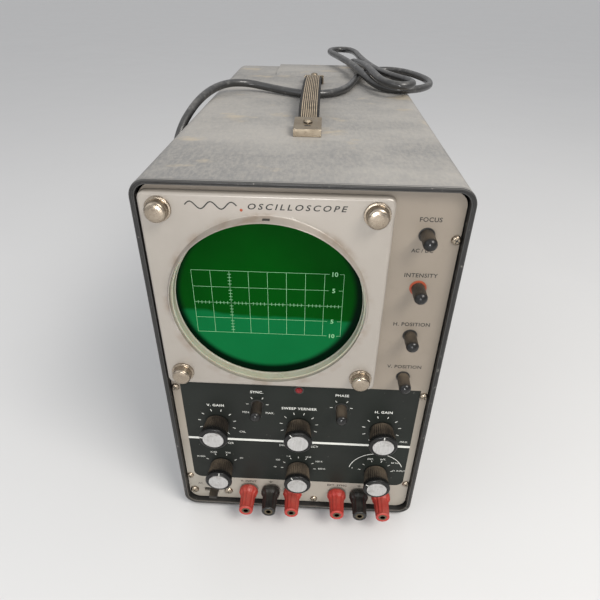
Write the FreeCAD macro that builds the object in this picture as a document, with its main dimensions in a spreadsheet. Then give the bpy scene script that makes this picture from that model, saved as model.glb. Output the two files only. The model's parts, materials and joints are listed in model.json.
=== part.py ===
import FreeCAD, Part
import math
import os

import Sketcher

# A bench oscilloscope of the valve era: a wrap-round steel cabinet with a recessed front
# panel, a five inch tube behind a square bezel, twelve controls, six binding posts, a strap
# handle and a mains lead. Millimetres. +X is the viewer's right, +Y points to the rear and
# +Z up. The origin is on the bench, under the middle of the object's outline.

V = FreeCAD.Vector
doc = FreeCAD.newDocument("Oscilloscope")

# Driving dimensions. Names that end in _at are measured back from the cabinet's front lip.
DRIVING = {
    "case_width": 197.0,
    "case_top": 303.0,
    "case_floor": 5.0,
    "case_depth": 410.0,
    "case_radius": 11.0,
    "sheet": 1.2,
    "lip_width": 3.0,
    "lip_depth": 9.0,
    "hump_width": 88.0,
    "hump_rise": 2.4,
    "hump_at": 342.0,
    "flange_width": 11.0,
    "post_reach": 18.0,
    "panel_at": 4.5,
    "panel_thickness": 2.0,
    "panel_gap": 0.9,
    "panel_radius": 9.0,
    "screen_x": -20.5,
    "screen_height": 218.3,
    "screen_radius": 63.3,
    "bezel_left": -94.3,
    "bezel_right": 54.0,
    "bezel_low": 150.5,
    "bezel_high": 296.0,
    "bezel_front_at": -1.0,
    "bezel_radius": 4.5,
    "visor_reach": 7.5,
    "visor_wall": 1.5,
    "ring_at": 1.6,
    "filter_at": 8.1,
    "filter_thickness": 2.5,
    "tube_at": 11.0,
    "tube_radius": 66.0,
    "neck_radius": 25.4,
    "neck_end_at": 345.0,
    "glass": 2.6,
    "knob_column": 64.2,
    "knob_middle": 0.7,
    "upper_row": 104.3,
    "lower_row": 53.5,
    "knob_front_at": -12.7,
    "knob_radius": 9.1,
    "crown_radius": 10.9,
    "disc_radius": 7.9,
    "flutes": 20.0,
    "shaft_radius": 3.0,
    "running_gap": 0.06,
    "bushing_radius": 4.7,
    "slim_radius": 4.25,
    "slim_front_at": -11.0,
    "slim_pair": 31.85,
    "slim_row": 126.3,
    "right_column": 74.5,
    "pot_radius": 12.0,
    "pot_at": 9.0,
    "post_middle": 15.2,
    "post_pitch": 19.05,
    "post_height": 23.5,
    "post_radius": 6.2,
    "collar_radius": 8.1,
    "stud_radius": 3.4,
    "socket_radius": 2.05,
    "socket_depth": 19.6,
    "switch_x": -75.3,
    "switch_height": 19.0,
    "button_width": 7.2,
    "button_height": 3.8,
    "button_travel": 4.8,
    "deck_height": 95.0,
    "deck_half": 86.0,
    "handle_front_at": 92.5,
    "handle_rear_at": 317.5,
    "bracket_width": 20.0,
    "bracket_length": 23.5,
    "strap_width": 16.0,
    "foot_height": 5.0,
    "foot_radius": 10.0,
    "foot_x": 78.0,
    "foot_inset": 34.0,
    "cover_at": 402.0,
    "cord_diameter": 7.0,
    "relief_reach": 428.0,
}

# The mains lead's route, by hand: out of the strain relief at the rear, round the rear left
# corner on the bench, forward beside the cabinet, up its left side and over the top edge,
# under the handle, one open loop at the rear right, one long narrow loop on that, and over
# the rear edge, where the end hangs with the plug on it.
CORD_ROUTE = [
    (-70, 232, 32), (-70, 254, 31), (-75, 275, 19), (-86, 294, 7), (-106, 308, 4),
    (-130, 304, 4), (-148, 284, 4), (-157, 248, 4), (-160, 192, 4), (-157, 128, 4),
    (-151, 66, 4), (-142, 14, 4), (-132, -22, 7), (-124, -44, 24), (-119, -55, 56),
    (-117, -59, 104), (-118, -58, 160), (-119, -56, 214), (-117, -49, 256), (-112, -32, 286),
    (-104, -8, 301), (-95, 18, 309), (-83, 42, 312), (-66, 54, 311), (-46, 52, 308),
    (-26, 38, 307), (-5, 25, 307), (17, 30, 307), (31, 52, 307), (39, 82, 307),
    (44, 114, 307), (52, 146, 307), (66, 170, 307), (86, 177, 307), (103, 163, 307),
    (114, 138, 307), (121, 108, 307), (117, 80, 307), (102, 60, 307), (82, 54, 307),
    (66, 66, 307), (56, 90, 310), (47, 122, 314.5), (38, 158, 316.5), (28, 196, 317),
    (18, 228, 317.5), (16, 248, 317.5), (26, 263, 317.5), (41, 261, 317.5), (49, 243, 317),
    (52, 212, 316), (57, 176, 315), (62, 138, 315), (70, 104, 315), (82, 76, 315),
    (93, 56, 315), (94, 38, 315), (80, 29, 315), (66, 42, 316), (60, 74, 318),
    (57, 110, 318), (53, 146, 316.5), (48, 180, 314), (44, 208, 311), (41, 230, 303),
    (39, 242, 282), (38, 245, 256), (37, 244, 226),
]


class Size:
    """A number with the spreadsheet expression that gives it."""

    def __init__(self, value, text):
        self.value = float(value)
        self.text = text

    def __add__(self, other):
        return combine(self, other, "+", lambda a, b: a + b)

    def __radd__(self, other):
        return combine(other, self, "+", lambda a, b: a + b)

    def __sub__(self, other):
        return combine(self, other, "-", lambda a, b: a - b)

    def __rsub__(self, other):
        return combine(other, self, "-", lambda a, b: a - b)

    def __mul__(self, other):
        return combine(self, other, "*", lambda a, b: a * b)

    def __rmul__(self, other):
        return combine(other, self, "*", lambda a, b: a * b)

    def __truediv__(self, other):
        return combine(self, other, "/", lambda a, b: a / b)

    def __neg__(self):
        return 0 - self


def size(value):
    """value as a Size; a plain number becomes a constant one."""
    if isinstance(value, Size):
        return value
    return Size(value, repr(float(value)))


def combine(left, right, sign, result):
    left, right = size(left), size(right)
    text = "(%s %s %s)" % (left.text, sign, right.text)
    return Size(result(left.value, right.value), text)


class Sheet:
    """The spreadsheet: each driving dimension is a named cell, and an attribute here."""

    def __init__(self, dimensions):
        self.cells = doc.addObject("Spreadsheet::Sheet", "Sizes")
        for row, (name, value) in enumerate(dimensions.items(), 1):
            cell = "A%d" % row
            self.cells.set(cell, str(value))
            self.cells.setAlias(cell, name)
            setattr(self, name, Size(value, "Sizes." + name))


d = Sheet(DRIVING)
doc.recompute()

LIP = (d.post_reach - d.case_depth) / 2
REAR = LIP + d.case_depth
HALF = d.case_width / 2


def back(distance):
    """The Y of a point that is distance behind the cabinet's front lip."""
    return LIP + distance


def bind(thing, **sizes):
    for name, value in sizes.items():
        thing.setExpression(name, size(value).text)


def place(thing, x=0, y=0, z=0):
    for axis, value in zip("xyz", (x, y, z)):
        thing.setExpression(".Placement.Base." + axis, size(value).text)


# Outlines. A closed outline is a list of vertices in counterclockwise order. A vertex with
# a third value is reached by an arc of that radius: positive turns left, negative right.
# ("close", radius) at the end closes the outline with such an arc.


def rectangle(left, right, low, high):
    return [(left, low), (right, low), (right, high), (left, high)]


def rounded(left, right, low, high, radius):
    return [
        (left + radius, low),
        (right - radius, low),
        (right, low + radius, radius),
        (right, high - radius),
        (right - radius, high, radius),
        (left + radius, high),
        (left, high - radius, radius),
        (left, low + radius),
        ("close", radius),
    ]


def circle(x, y, radius):
    return ("circle", x, y, radius)


def arc_middle(start, end, radius):
    """The middle of the arc from start to end, which turns left if radius is positive."""
    chord = end - start
    half = chord.Length / 2
    sagitta = abs(radius) - math.sqrt(radius * radius - half * half)
    outward = V(chord.y, -chord.x, 0).normalize()
    if radius < 0:
        outward = -outward
    return start + chord / 2 + outward * sagitta


def draw_circle(sketch, x, y, radius):
    x, y, radius = size(x), size(y), size(radius)
    centre = V(x.value, y.value, 0)
    index = sketch.addGeometry(Part.Circle(centre, V(0, 0, 1), radius.value), False)
    rules = [
        (Sketcher.Constraint("DistanceX", -1, 1, index, 3, x.value), x),
        (Sketcher.Constraint("DistanceY", -1, 1, index, 3, y.value), y),
        (Sketcher.Constraint("Radius", index, radius.value), radius),
    ]
    add_rules(sketch, rules)


def add_rules(sketch, rules):
    numbers = sketch.addConstraint([rule for rule, _ in rules])
    for number, (_, value) in zip(numbers, rules):
        if value is not None:
            sketch.setExpression("Constraints[%d]" % number, value.text)


def draw_outline(sketch, vertices):
    """Lines and arcs through the vertices, each end held by the spreadsheet's values."""
    closing = None
    if vertices[-1][0] == "close":
        closing = size(vertices[-1][1])
        vertices = vertices[:-1]
    corners = [(size(v[0]), size(v[1])) for v in vertices]
    points = [V(x.value, y.value, 0) for x, y in corners]
    bends = [size(v[2]) if len(v) == 3 else None for v in vertices]
    bends[0] = closing
    count = len(points)
    edges = []
    for i in range(count):
        start, end = points[i - 1], points[i]
        if bends[i] is None:
            index = sketch.addGeometry(Part.LineSegment(start, end), False)
        else:
            middle = arc_middle(start, end, bends[i].value)
            index = sketch.addGeometry(Part.Arc(start, middle, end), False)
        forward = (sketch.getPoint(index, 1) - start).Length < 1e-6
        edges.append((index, 1, 2) if forward else (index, 2, 1))
    rules = []
    for i in range(count):
        index, _, last = edges[i]
        following, first, _ = edges[(i + 1) % count]
        x, y = corners[i]
        rules.append((Sketcher.Constraint("Coincident", index, last, following, first), None))
        rules.append((Sketcher.Constraint("DistanceX", -1, 1, index, last, x.value), x))
        rules.append((Sketcher.Constraint("DistanceY", -1, 1, index, last, y.value), y))
        if bends[i] is not None:
            radius = bends[i] if bends[i].value > 0 else -bends[i]
            rules.append((Sketcher.Constraint("Radius", index, radius.value), radius))
    add_rules(sketch, rules)


def sketched_body(name, role, outlines):
    body = doc.addObject("PartDesign::Body", name)
    sketch = body.newObject("Sketcher::SketchObject", name + "Sketch")
    plane = next(item for item in body.Origin.OriginFeatures if item.Role == role)
    sketch.AttachmentSupport = [(plane, "")]
    sketch.MapMode = "FlatFace"
    for outline in outlines:
        if outline[0] == "circle":
            draw_circle(sketch, *outline[1:])
        else:
            draw_outline(sketch, outline)
    return body, sketch


def padded(name, role, outlines, length):
    body, sketch = sketched_body(name, role, outlines)
    pad = body.newObject("PartDesign::Pad", name + "Pad")
    pad.Profile = sketch
    bind(pad, Length=length)
    return body


def plate(name, outlines, front, rear):
    """A solid with its outlines in X and Z, from front to rear along Y."""
    body = padded(name, "XZ_Plane", outlines, rear - front)
    place(body, y=rear)
    return body


def slab(name, outlines, low, high):
    """A solid with its outlines in X and Y, from low to high along Z."""
    body = padded(name, "XY_Plane", outlines, high - low)
    place(body, z=low)
    return body


def strip(name, outlines, left, right):
    """A solid with its outlines in Y and Z, from left to right along X."""
    body = padded(name, "YZ_Plane", outlines, right - left)
    place(body, x=left)
    return body


def turned(name, profile, x=0, y=0, z=0, upright=False):
    """A solid of revolution about Y, or about Z if upright. The profile's first value is
    the radius and its second the place along the axis."""
    role = "XZ_Plane" if upright else "XY_Plane"
    body, sketch = sketched_body(name, role, [profile])
    revolution = body.newObject("PartDesign::Revolution", name + "Turn")
    revolution.Profile = sketch
    revolution.ReferenceAxis = (sketch, ["V_Axis"])
    revolution.Angle = 360
    place(body, x, y, z)
    return body


def rod(name, radius, length, x=0, y=0, z=0, upright=False):
    """A plain cylinder whose axis runs from the given point along +Y, or +Z if upright."""
    cylinder = doc.addObject("Part::Cylinder", name)
    bind(cylinder, Radius=radius, Height=length)
    if not upright:
        cylinder.Placement = FreeCAD.Placement(V(0, 0, 0), FreeCAD.Rotation(V(1, 0, 0), -90))
    place(cylinder, x, y, z)
    return cylinder


def block(name, left, right, front, rear, low, high):
    box = doc.addObject("Part::Box", name)
    bind(box, Length=size(right) - left, Width=size(rear) - front, Height=size(high) - low)
    place(box, left, front, low)
    return box


def fused(name, *pieces):
    union = doc.addObject("Part::MultiFuse", name)
    union.Shapes = list(pieces)
    return union


def cut(name, base, *tools):
    difference = doc.addObject("Part::Cut", name)
    difference.Base = base
    difference.Tool = tools[0] if len(tools) == 1 else fused(name + "Tools", *tools)
    return difference


def gathered(name, pieces):
    """Separate solids that share one sub-part."""
    group = doc.addObject("Part::Compound", name)
    group.Links = list(pieces)
    return group


SUBPARTS = []


def subpart(label, thing):
    thing.Label = label
    SUBPARTS.append(thing)


# Places of the controls on the front panel.

KNOB_COLUMNS = [d.knob_middle - d.knob_column, d.knob_middle, d.knob_middle + d.knob_column]
BIG_KNOBS = {
    "v_gain": (KNOB_COLUMNS[0], d.upper_row),
    "sweep_vernier": (KNOB_COLUMNS[1], d.upper_row),
    "h_gain": (KNOB_COLUMNS[2], d.upper_row),
    "v_attenuator": (KNOB_COLUMNS[0], d.lower_row),
    "sweep_frequency": (KNOB_COLUMNS[1], d.lower_row),
    "selector": (KNOB_COLUMNS[2], d.lower_row),
}
SLIM_KNOBS = {
    "sync": (d.knob_middle - d.slim_pair, d.slim_row),
    "phase": (d.knob_middle + d.slim_pair, d.slim_row),
    "focus": (d.right_column, 271.8),
    "intensity": (d.right_column, 235.1),
    "h_position": (d.right_column, 197.4),
    "v_position": (d.right_column, 160.4),
}
SWITCHED = ["v_attenuator", "sweep_frequency", "selector"]
POSTS = {
    "v_input": -3,
    "v_ground": -2,
    "h_input": -1,
    "ext_sync": 1,
    "sync_ground": 2,
    "test_signal": 3,
}
PILOT = (0.4, 142.9)
PANEL_SCREWS = [
    (92.2, 269.3),
    (92.2, 142.1),
    (-92.0, 141.3),
    (-92.2, 37.9),
    (92.2, 39.9),
    (14.8, 13.5),
]
SWITCH_SCREWS = [(-90.3, 19.0), (-60.3, 19.0)]
COVER_SCREWS = [(x, z) for x in (-91.0, 91.0) for z in (40.0, 154.0, 268.0)]
SCREW_HOLE = 2.05


def post_x(step):
    return d.post_middle + d.post_pitch * step


def holes(places, radius):
    return [circle(x, z, radius) for x, z in places]


# Cabinet: a wrap of sheet with a rolled front lip, a flange for the rear cover and a
# shallow pressed hump at the rear of its top.


def make_cabinet():
    inner = HALF - d.sheet
    wrap = plate(
        "Wrap",
        [
            rounded(-HALF, HALF, d.case_floor, d.case_top, d.case_radius),
            rounded(-inner, inner, d.case_floor + d.sheet, d.case_top - d.sheet, d.case_radius - d.sheet),
        ],
        LIP,
        REAR,
    )
    opening = HALF - d.lip_width
    lip = plate(
        "FrontLip",
        [
            rounded(-HALF + 0.1, HALF - 0.1, d.case_floor + 0.1, d.case_top - 0.1, d.case_radius - 0.1),
            rounded(
                -opening,
                opening,
                d.case_floor + d.lip_width,
                d.case_top - d.lip_width,
                d.case_radius - d.lip_width,
            ),
        ],
        LIP,
        LIP + d.lip_depth,
    )
    clear = HALF - d.flange_width
    flange = plate(
        "RearFlange",
        [
            rounded(-HALF + 0.1, HALF - 0.1, d.case_floor + 0.1, d.case_top - 0.1, d.case_radius - 0.1),
            rounded(-clear, clear, d.case_floor + d.flange_width, d.case_top - d.flange_width, 4.0),
        ]
        + holes(COVER_SCREWS, SCREW_HOLE),
        back(d.cover_at) - 1.3,
        back(d.cover_at) - 0.1,
    )
    slope = 9.0
    hump_profile = [
        (back(d.hump_at), d.case_top - 0.2),
        (REAR, d.case_top - 0.2),
        (REAR, d.case_top + d.hump_rise),
        (back(d.hump_at + slope), d.case_top + d.hump_rise),
    ]
    hump = strip("Hump", [hump_profile], -d.hump_width / 2, d.hump_width / 2)
    whole = fused("CabinetBlank", wrap, lip, flange, hump)
    tools = []
    for number, (x, y) in enumerate(foot_places()):
        tools.append(rod("FootScrewHole%d" % number, SCREW_HOLE, 4, x, y, d.case_floor - 1, upright=True))
    for number, y in enumerate(handle_screw_places()):
        tools.append(rod("HandleScrewHole%d" % number, SCREW_HOLE, 4, 0, y, d.case_top - 2, upright=True))
    subpart("cabinet_shell", cut("Cabinet", whole, *tools))


def foot_places():
    fronts = (back(d.foot_inset), REAR - d.foot_inset)
    return [(side * d.foot_x, y) for side in (-1, 1) for y in fronts]


def handle_screw_places():
    inset = 13.5
    return [back(d.handle_front_at + inset), back(d.handle_rear_at - inset)]


def make_feet():
    feet = []
    recess = 4.2
    profile = [
        (2.1, 3.2),
        (recess, 3.2),
        (recess, 0),
        (d.foot_radius - 1.2, 0),
        (d.foot_radius - 0.4, 0.8),
        (d.foot_radius, d.foot_height),
        (2.1, d.foot_height),
    ]
    for number, (x, y) in enumerate(foot_places()):
        feet.append(turned("Foot%d" % number, profile, x, y, 0, upright=True))
    subpart("feet", gathered("Feet", feet))


# Rear cover: a louvred plate inside the cabinet's rear edge.


def make_rear_cover():
    inset = d.sheet + 0.6
    edge = HALF - inset
    front = back(d.cover_at)
    cord_x, _, cord_z = CORD_ROUTE[0]
    outlines = [rounded(-edge, edge, d.case_floor + inset, d.case_top - inset, d.case_radius - inset)]
    outlines += holes(COVER_SCREWS, SCREW_HOLE)
    outlines.append(circle(cord_x, cord_z, 7.2))
    blank = plate("CoverBlank", outlines, front, front + d.sheet)
    slots = []
    slot_half = 17.0
    slot_pitch = 19.0
    for column in (-55.0, 0.0, 55.0):
        for row in range(9):
            middle = 110.0 + row * slot_pitch
            left, right = size(column - slot_half), size(column + slot_half)
            outline = rounded(left, right, size(middle - 2.5), size(middle + 2.5), 2.4)
            slots.append(plate("Slot%d" % len(slots), [outline], front - 1, front + d.sheet + 1))
    subpart("rear_cover", cut("RearCover", blank, *slots))


def make_front_panel():
    edge = HALF - d.lip_width - d.panel_gap
    low = d.case_floor + d.lip_width + d.panel_gap
    high = d.case_top - d.lip_width - d.panel_gap
    half_slot = (d.button_width + d.button_travel) / 2 + 0.3
    outlines = [
        rounded(-edge, edge, low, high, d.panel_radius),
        circle(d.screen_x, d.screen_height, d.screen_radius + 2.9),
        rectangle(
            d.switch_x - half_slot,
            d.switch_x + half_slot,
            d.switch_height - d.button_height / 2 - 0.4,
            d.switch_height + d.button_height / 2 + 0.4,
        ),
        circle(PILOT[0], PILOT[1], 3.1),
    ]
    outlines += holes(list(BIG_KNOBS.values()) + list(SLIM_KNOBS.values()), d.bushing_radius + 0.2)
    outlines += holes([(post_x(step), d.post_height) for step in POSTS.values()], d.stud_radius + 0.1)
    outlines += holes(PANEL_SCREWS + SWITCH_SCREWS, SCREW_HOLE)
    outlines += holes(bezel_corners(), 1.8)
    front = back(d.panel_at)
    subpart("front_panel", plate("FrontPanel", outlines, front, front + d.panel_thickness))


# Screen: bezel on four dome nuts, a pale light ring, the green graticule filter, and the
# cathode ray tube in its magnetic shield.


def bezel_corners():
    inset = 12.0
    left, right = d.bezel_left + inset, d.bezel_right - inset + 1.7
    low, high = d.bezel_low + inset - 0.8, d.bezel_high - inset + 2.0
    return [(x, z) for x in (left, right) for z in (low, high)]


def make_visor(face):
    """A rim round the opening: it stands out furthest at the top and is flush low down."""
    reach, outer = d.visor_reach, d.screen_radius + d.visor_wall
    rim = plate(
        "VisorRim",
        [
            circle(d.screen_x, d.screen_height, outer),
            circle(d.screen_x, d.screen_height, d.screen_radius),
        ],
        face - reach,
        face + 0.5,
    )
    flush_height = d.screen_height - 16.0
    slope = strip(
        "VisorSlope",
        [
            [
                (face - reach - 1, d.screen_height - outer - 1),
                (face, d.screen_height - outer - 1),
                (face, flush_height),
                (face - reach, d.screen_height + outer),
                (face - reach - 1, d.screen_height + outer),
            ]
        ],
        d.screen_x - outer - 1,
        d.screen_x + outer + 1,
    )
    return cut("Visor", rim, slope)


def make_bezel():
    outlines = [
        rounded(d.bezel_left, d.bezel_right, d.bezel_low, d.bezel_high, d.bezel_radius),
        circle(d.screen_x, d.screen_height, d.screen_radius),
    ]
    outlines += holes(bezel_corners(), 1.8)
    front, rear = back(d.bezel_front_at), back(d.panel_at) - 0.02
    frame = fused("BezelBlank", plate("BezelPlate", outlines, front, rear), make_visor(front))
    seat = rod("BezelSeat", d.screen_radius + 2.6, 4, d.screen_x, back(d.ring_at), d.screen_height)
    subpart("bezel", cut("Bezel", frame, seat))
    ring_profile = [
        (d.screen_radius - 1.0, back(d.ring_at) + 0.1),
        (d.screen_radius + 2.3, back(d.ring_at) + 0.1),
        (d.screen_radius + 2.3, back(d.filter_at) - 0.1),
        (d.screen_radius - 1.4, back(d.filter_at) - 0.1),
    ]
    subpart("light_ring", turned("LightRing", ring_profile, d.screen_x, 0, d.screen_height))
    disc = rod(
        "Filter", d.screen_radius + 2.7, d.filter_thickness, d.screen_x, back(d.filter_at), d.screen_height
    )
    subpart("graticule_filter", disc)


def make_bezel_nuts():
    """Dome thumb nuts, each with a flange at the bezel and a threaded shank behind it."""
    face = back(d.bezel_front_at) - 0.02
    profile = [
        (0, face - 7.8),
        (4.2, face - 7.0),
        (6.4, face - 4.8),
        (6.9, face - 1.6),
        (7.8, face - 1.5),
        (7.8, face),
        (1.7, face),
        (1.7, face + 13.0),
        (0, face + 13.0),
    ]
    nuts = [turned("DomeNut%d" % n, profile, x, 0, z) for n, (x, z) in enumerate(bezel_corners())]
    subpart("bezel_nuts", gathered("BezelNuts", nuts))


def make_cathode_ray_tube():
    """The glass envelope is open at the neck's end, where the socket closes it."""
    face = back(d.tube_at)
    inner = d.neck_radius - d.glass
    profile = [
        (0, face),
        (48.0, face + 1.4),
        (d.tube_radius - 3.5, face + 4.0),
        (d.tube_radius, face + 8.0),
        (d.tube_radius, face + 20.0),
        (d.tube_radius - 6.0, face + 31.0),
        (d.neck_radius + 2.0, face + 149.0),
        (d.neck_radius, face + 161.0),
        (d.neck_radius, back(d.neck_end_at)),
        (inner, back(d.neck_end_at)),
        (inner, face + 160.0),
        (d.neck_radius - 0.6, face + 148.0),
        (d.tube_radius - 9.2, face + 30.0),
        (d.tube_radius - 3.4, face + 19.0),
        (d.tube_radius - 3.4, face + 10.0),
        (46.0, face + 5.6),
        (0, face + 4.6),
    ]
    subpart("crt_tube", turned("Envelope", profile, d.screen_x, 0, d.screen_height))
    skin = 1.0
    mouth, waist = d.tube_radius - 2.0, d.neck_radius + 6.0
    shield_profile = [
        (mouth, face + 32.0),
        (mouth + skin, face + 32.0),
        (waist + skin, face + 152.0),
        (waist + skin, face + 290.0),
        (waist, face + 290.0),
        (waist, face + 152.0),
    ]
    subpart("crt_shield", turned("Shield", shield_profile, d.screen_x, 0, d.screen_height))
    socket = rod("Socket", d.neck_radius + 1.2, 24, d.screen_x, back(d.neck_end_at) + 0.1, d.screen_height)
    subpart("crt_socket", socket)


# Chassis: a deck with side flanges, two arms to the front panel and a yoke for the shield.

TUBE_PLACES = [
    (62.0, 110.0),
    (62.0, 160.0),
    (62.0, 210.0),
    (62.0, 260.0),
    (18.0, 150.0),
    (-60.0, 130.0),
    (-60.0, 200.0),
]
SOCKET_HOLE = 9.8
CAPACITOR = (30.0, 335.0)


def make_chassis():
    gauge = 1.6
    deck_top = d.deck_height + gauge
    front, rear = back(60.0), back(396.0)
    sockets = [circle(x, back(at), SOCKET_HOLE + 0.2) for x, at in TUBE_PLACES]
    deck = slab(
        "Deck", [rectangle(-d.deck_half, d.deck_half, front, rear)] + sockets, d.deck_height, deck_top
    )
    pieces = [deck]
    panel_rear = back(d.panel_at) + d.panel_thickness + 0.1
    for name, side in (("Left", -1), ("Right", 1)):
        outer = side * d.deck_half
        inner = side * (d.deck_half - gauge)
        left, right = (outer, inner) if side < 0 else (inner, outer)
        profile = [
            (panel_rear, d.deck_height - 27.0),
            (front, d.deck_height - 27.0),
            (front + 20.0, d.deck_height - 45.0),
            (rear, d.deck_height - 45.0),
            (rear, deck_top),
            (panel_rear, deck_top),
        ]
        pieces.append(strip(name + "Rail", [profile], left, right))
    yoke_radius = d.neck_radius + 7.2
    yoke = plate(
        "Yoke",
        [
            rectangle(d.screen_x - 42, d.screen_x + 42, d.deck_height + 0.5, d.screen_height + 40),
            circle(d.screen_x, d.screen_height, yoke_radius),
        ],
        back(240.0),
        back(240.0) + gauge,
    )
    pieces.append(yoke)
    subpart("chassis", fused("Chassis", *pieces))
    return deck_top


def make_chassis_parts(deck_top):
    ground = deck_top + 0.05
    core = block("Core", -78, -14, back(305), back(365), ground, ground + 70)
    subpart("power_transformer", core)
    bells = [
        block("FrontBell", -74, -18, back(289), back(305) - 0.05, ground + 5, ground + 65),
        block("RearBell", -74, -18, back(365) + 0.05, back(381), ground + 5, ground + 65),
    ]
    subpart("transformer_bells", gathered("Bells", bells))
    can_profile = [(0, 0), (19.0, 0), (19.0, 3.0), (17.5, 3.0), (17.5, 74.0), (16.0, 76.0), (0, 76.0)]
    can = turned("Can", can_profile, CAPACITOR[0], back(CAPACITOR[1]), ground, upright=True)
    subpart("filter_capacitor", can)
    socket_profile = [
        (3.0, -9.0),
        (SOCKET_HOLE, -9.0),
        (SOCKET_HOLE, 0),
        (SOCKET_HOLE + 3, 0),
        (SOCKET_HOLE + 3, 2.0),
        (3.0, 2.0),
    ]
    bulb_profile = [
        (9.0, 2.1),
        (10.2, 2.1),
        (10.2, 44.0),
        (8.0, 49.0),
        (0, 53.0),
        (0, 51.6),
        (7.2, 48.0),
        (9.0, 43.6),
    ]
    sockets = []
    bulbs = []
    for number, (x, at) in enumerate(TUBE_PLACES):
        sockets.append(turned("TubeSocket%d" % number, socket_profile, x, back(at), ground, upright=True))
        bulbs.append(turned("Bulb%d" % number, bulb_profile, x, back(at), ground, upright=True))
    subpart("tube_sockets", gathered("TubeSockets", sockets))
    subpart("vacuum_tubes", gathered("VacuumTubes", bulbs))


# Controls. Each shaft runs in a bushing that fills its hole in the panel.


def control_places():
    return {**BIG_KNOBS, **SLIM_KNOBS}


def make_control_bodies():
    bore = d.shaft_radius + d.running_gap
    face = back(d.panel_at)
    case = back(d.pot_at)
    blind = case + 10.5
    pot_profile = [
        (bore, face),
        (d.bushing_radius, face),
        (d.bushing_radius, case),
        (d.pot_radius, case),
        (d.pot_radius, case + 13),
        (0, case + 13),
        (0, blind),
        (bore, blind),
    ]
    wafer = 17.0
    spine = 5.0
    switch_profile = [
        (bore, face),
        (d.bushing_radius, face),
        (d.bushing_radius, case),
        (d.pot_radius + 2, case),
        (d.pot_radius + 2, case + 4),
        (spine, case + 4),
        (spine, case + 15),
        (wafer, case + 15),
        (wafer, case + 17),
        (spine, case + 17),
        (spine, case + 27),
        (wafer, case + 27),
        (wafer, case + 29),
        (0, case + 29),
        (0, blind),
        (bore, blind),
    ]
    pots = []
    switches = []
    for name, (x, z) in control_places().items():
        if name in SWITCHED:
            switches.append(turned(name + "Switch", switch_profile, x, 0, z))
        else:
            pots.append(turned(name + "Pot", pot_profile, x, 0, z))
    subpart("potentiometers", gathered("Potentiometers", pots))
    subpart("rotary_switches", gathered("RotarySwitches", switches))


def make_big_knob(name, x, z):
    front = back(d.knob_front_at)
    rear = back(d.panel_at) - 0.5
    recess = 0.55
    bore = d.shaft_radius + 0.05
    shaft_end = front + 4.5
    profile = [
        (0, front + recess),
        (d.disc_radius + 0.15, front + recess),
        (d.disc_radius + 0.15, front),
        (d.crown_radius - 0.8, front),
        (d.crown_radius, front + 0.9),
        (d.crown_radius, front + 2.6),
        (d.knob_radius, rear - 1.0),
        (d.knob_radius - 0.6, rear),
        (bore, rear),
        (bore, shaft_end - 0.1),
        (0, shaft_end - 0.1),
    ]
    body, sketch = sketched_body(name + "Knob", "XY_Plane", [profile])
    turn = body.newObject("PartDesign::Revolution", name + "KnobTurn")
    turn.Profile = sketch
    turn.ReferenceAxis = (sketch, ["V_Axis"])
    turn.Angle = 360
    doc.recompute()
    whole = body.Shape.Volume
    groove = body.newObject("Sketcher::SketchObject", name + "Flute")
    plane = next(item for item in body.Origin.OriginFeatures if item.Role == "XZ_Plane")
    groove.AttachmentSupport = [(plane, "")]
    groove.MapMode = "FlatFace"
    draw_circle(groove, d.crown_radius + 0.35, 0, 1.0)
    pocket = body.newObject("PartDesign::Pocket", name + "FluteCut")
    pocket.Profile = groove
    pocket.Type = "ThroughAll"
    pocket.SideType = "Symmetric"
    doc.recompute()
    pattern = body.newObject("PartDesign::PolarPattern", name + "Flutes")
    pattern.Originals = [pocket]
    axis = next(item for item in body.Origin.OriginFeatures if item.Role == "Y_Axis")
    pattern.Axis = (axis, [""])
    pattern.Angle = 360
    pattern.setExpression("Occurrences", d.flutes.text)
    body.Tip = pattern
    doc.recompute()
    if body.Shape.Volume > whole - 20:
        raise SystemExit("the flutes of %s were not cut" % name)
    place(body, x, 0, z)
    subpart(name + "_knob", body)
    disc = rod(name + "Disc", d.disc_radius, 1.0, x, front + recess - 1.05, z)
    subpart(name + "_knob_disc", disc)
    shaft = rod(name + "Shaft", d.shaft_radius, back(d.pot_at) + 10 - shaft_end, x, shaft_end, z)
    subpart(name + "_shaft", shaft)


def make_slim_knob(name, x, z):
    front = back(d.slim_front_at)
    shoulder = back(d.panel_at) - 0.5
    profile = [
        (0, front),
        (2.4, front + 0.4),
        (3.9, front + 1.8),
        (d.slim_radius, front + 3.6),
        (d.slim_radius, shoulder),
        (d.shaft_radius, shoulder),
        (d.shaft_radius, back(d.pot_at) + 10),
        (0, back(d.pot_at) + 10),
    ]
    subpart(name + "_knob", turned(name + "Slim", profile, x, 0, z))


def make_pilot():
    front = back(d.panel_at)
    profile = [
        (0, front - 2.2),
        (1.8, front - 1.8),
        (2.9, front - 0.5),
        (2.9, front + 7.0),
        (0, front + 7.0),
    ]
    subpart("pilot_jewel", turned("Pilot", profile, PILOT[0], 0, PILOT[1]))


# Slide switch: a button in a slot, on a body behind the panel.


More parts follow.
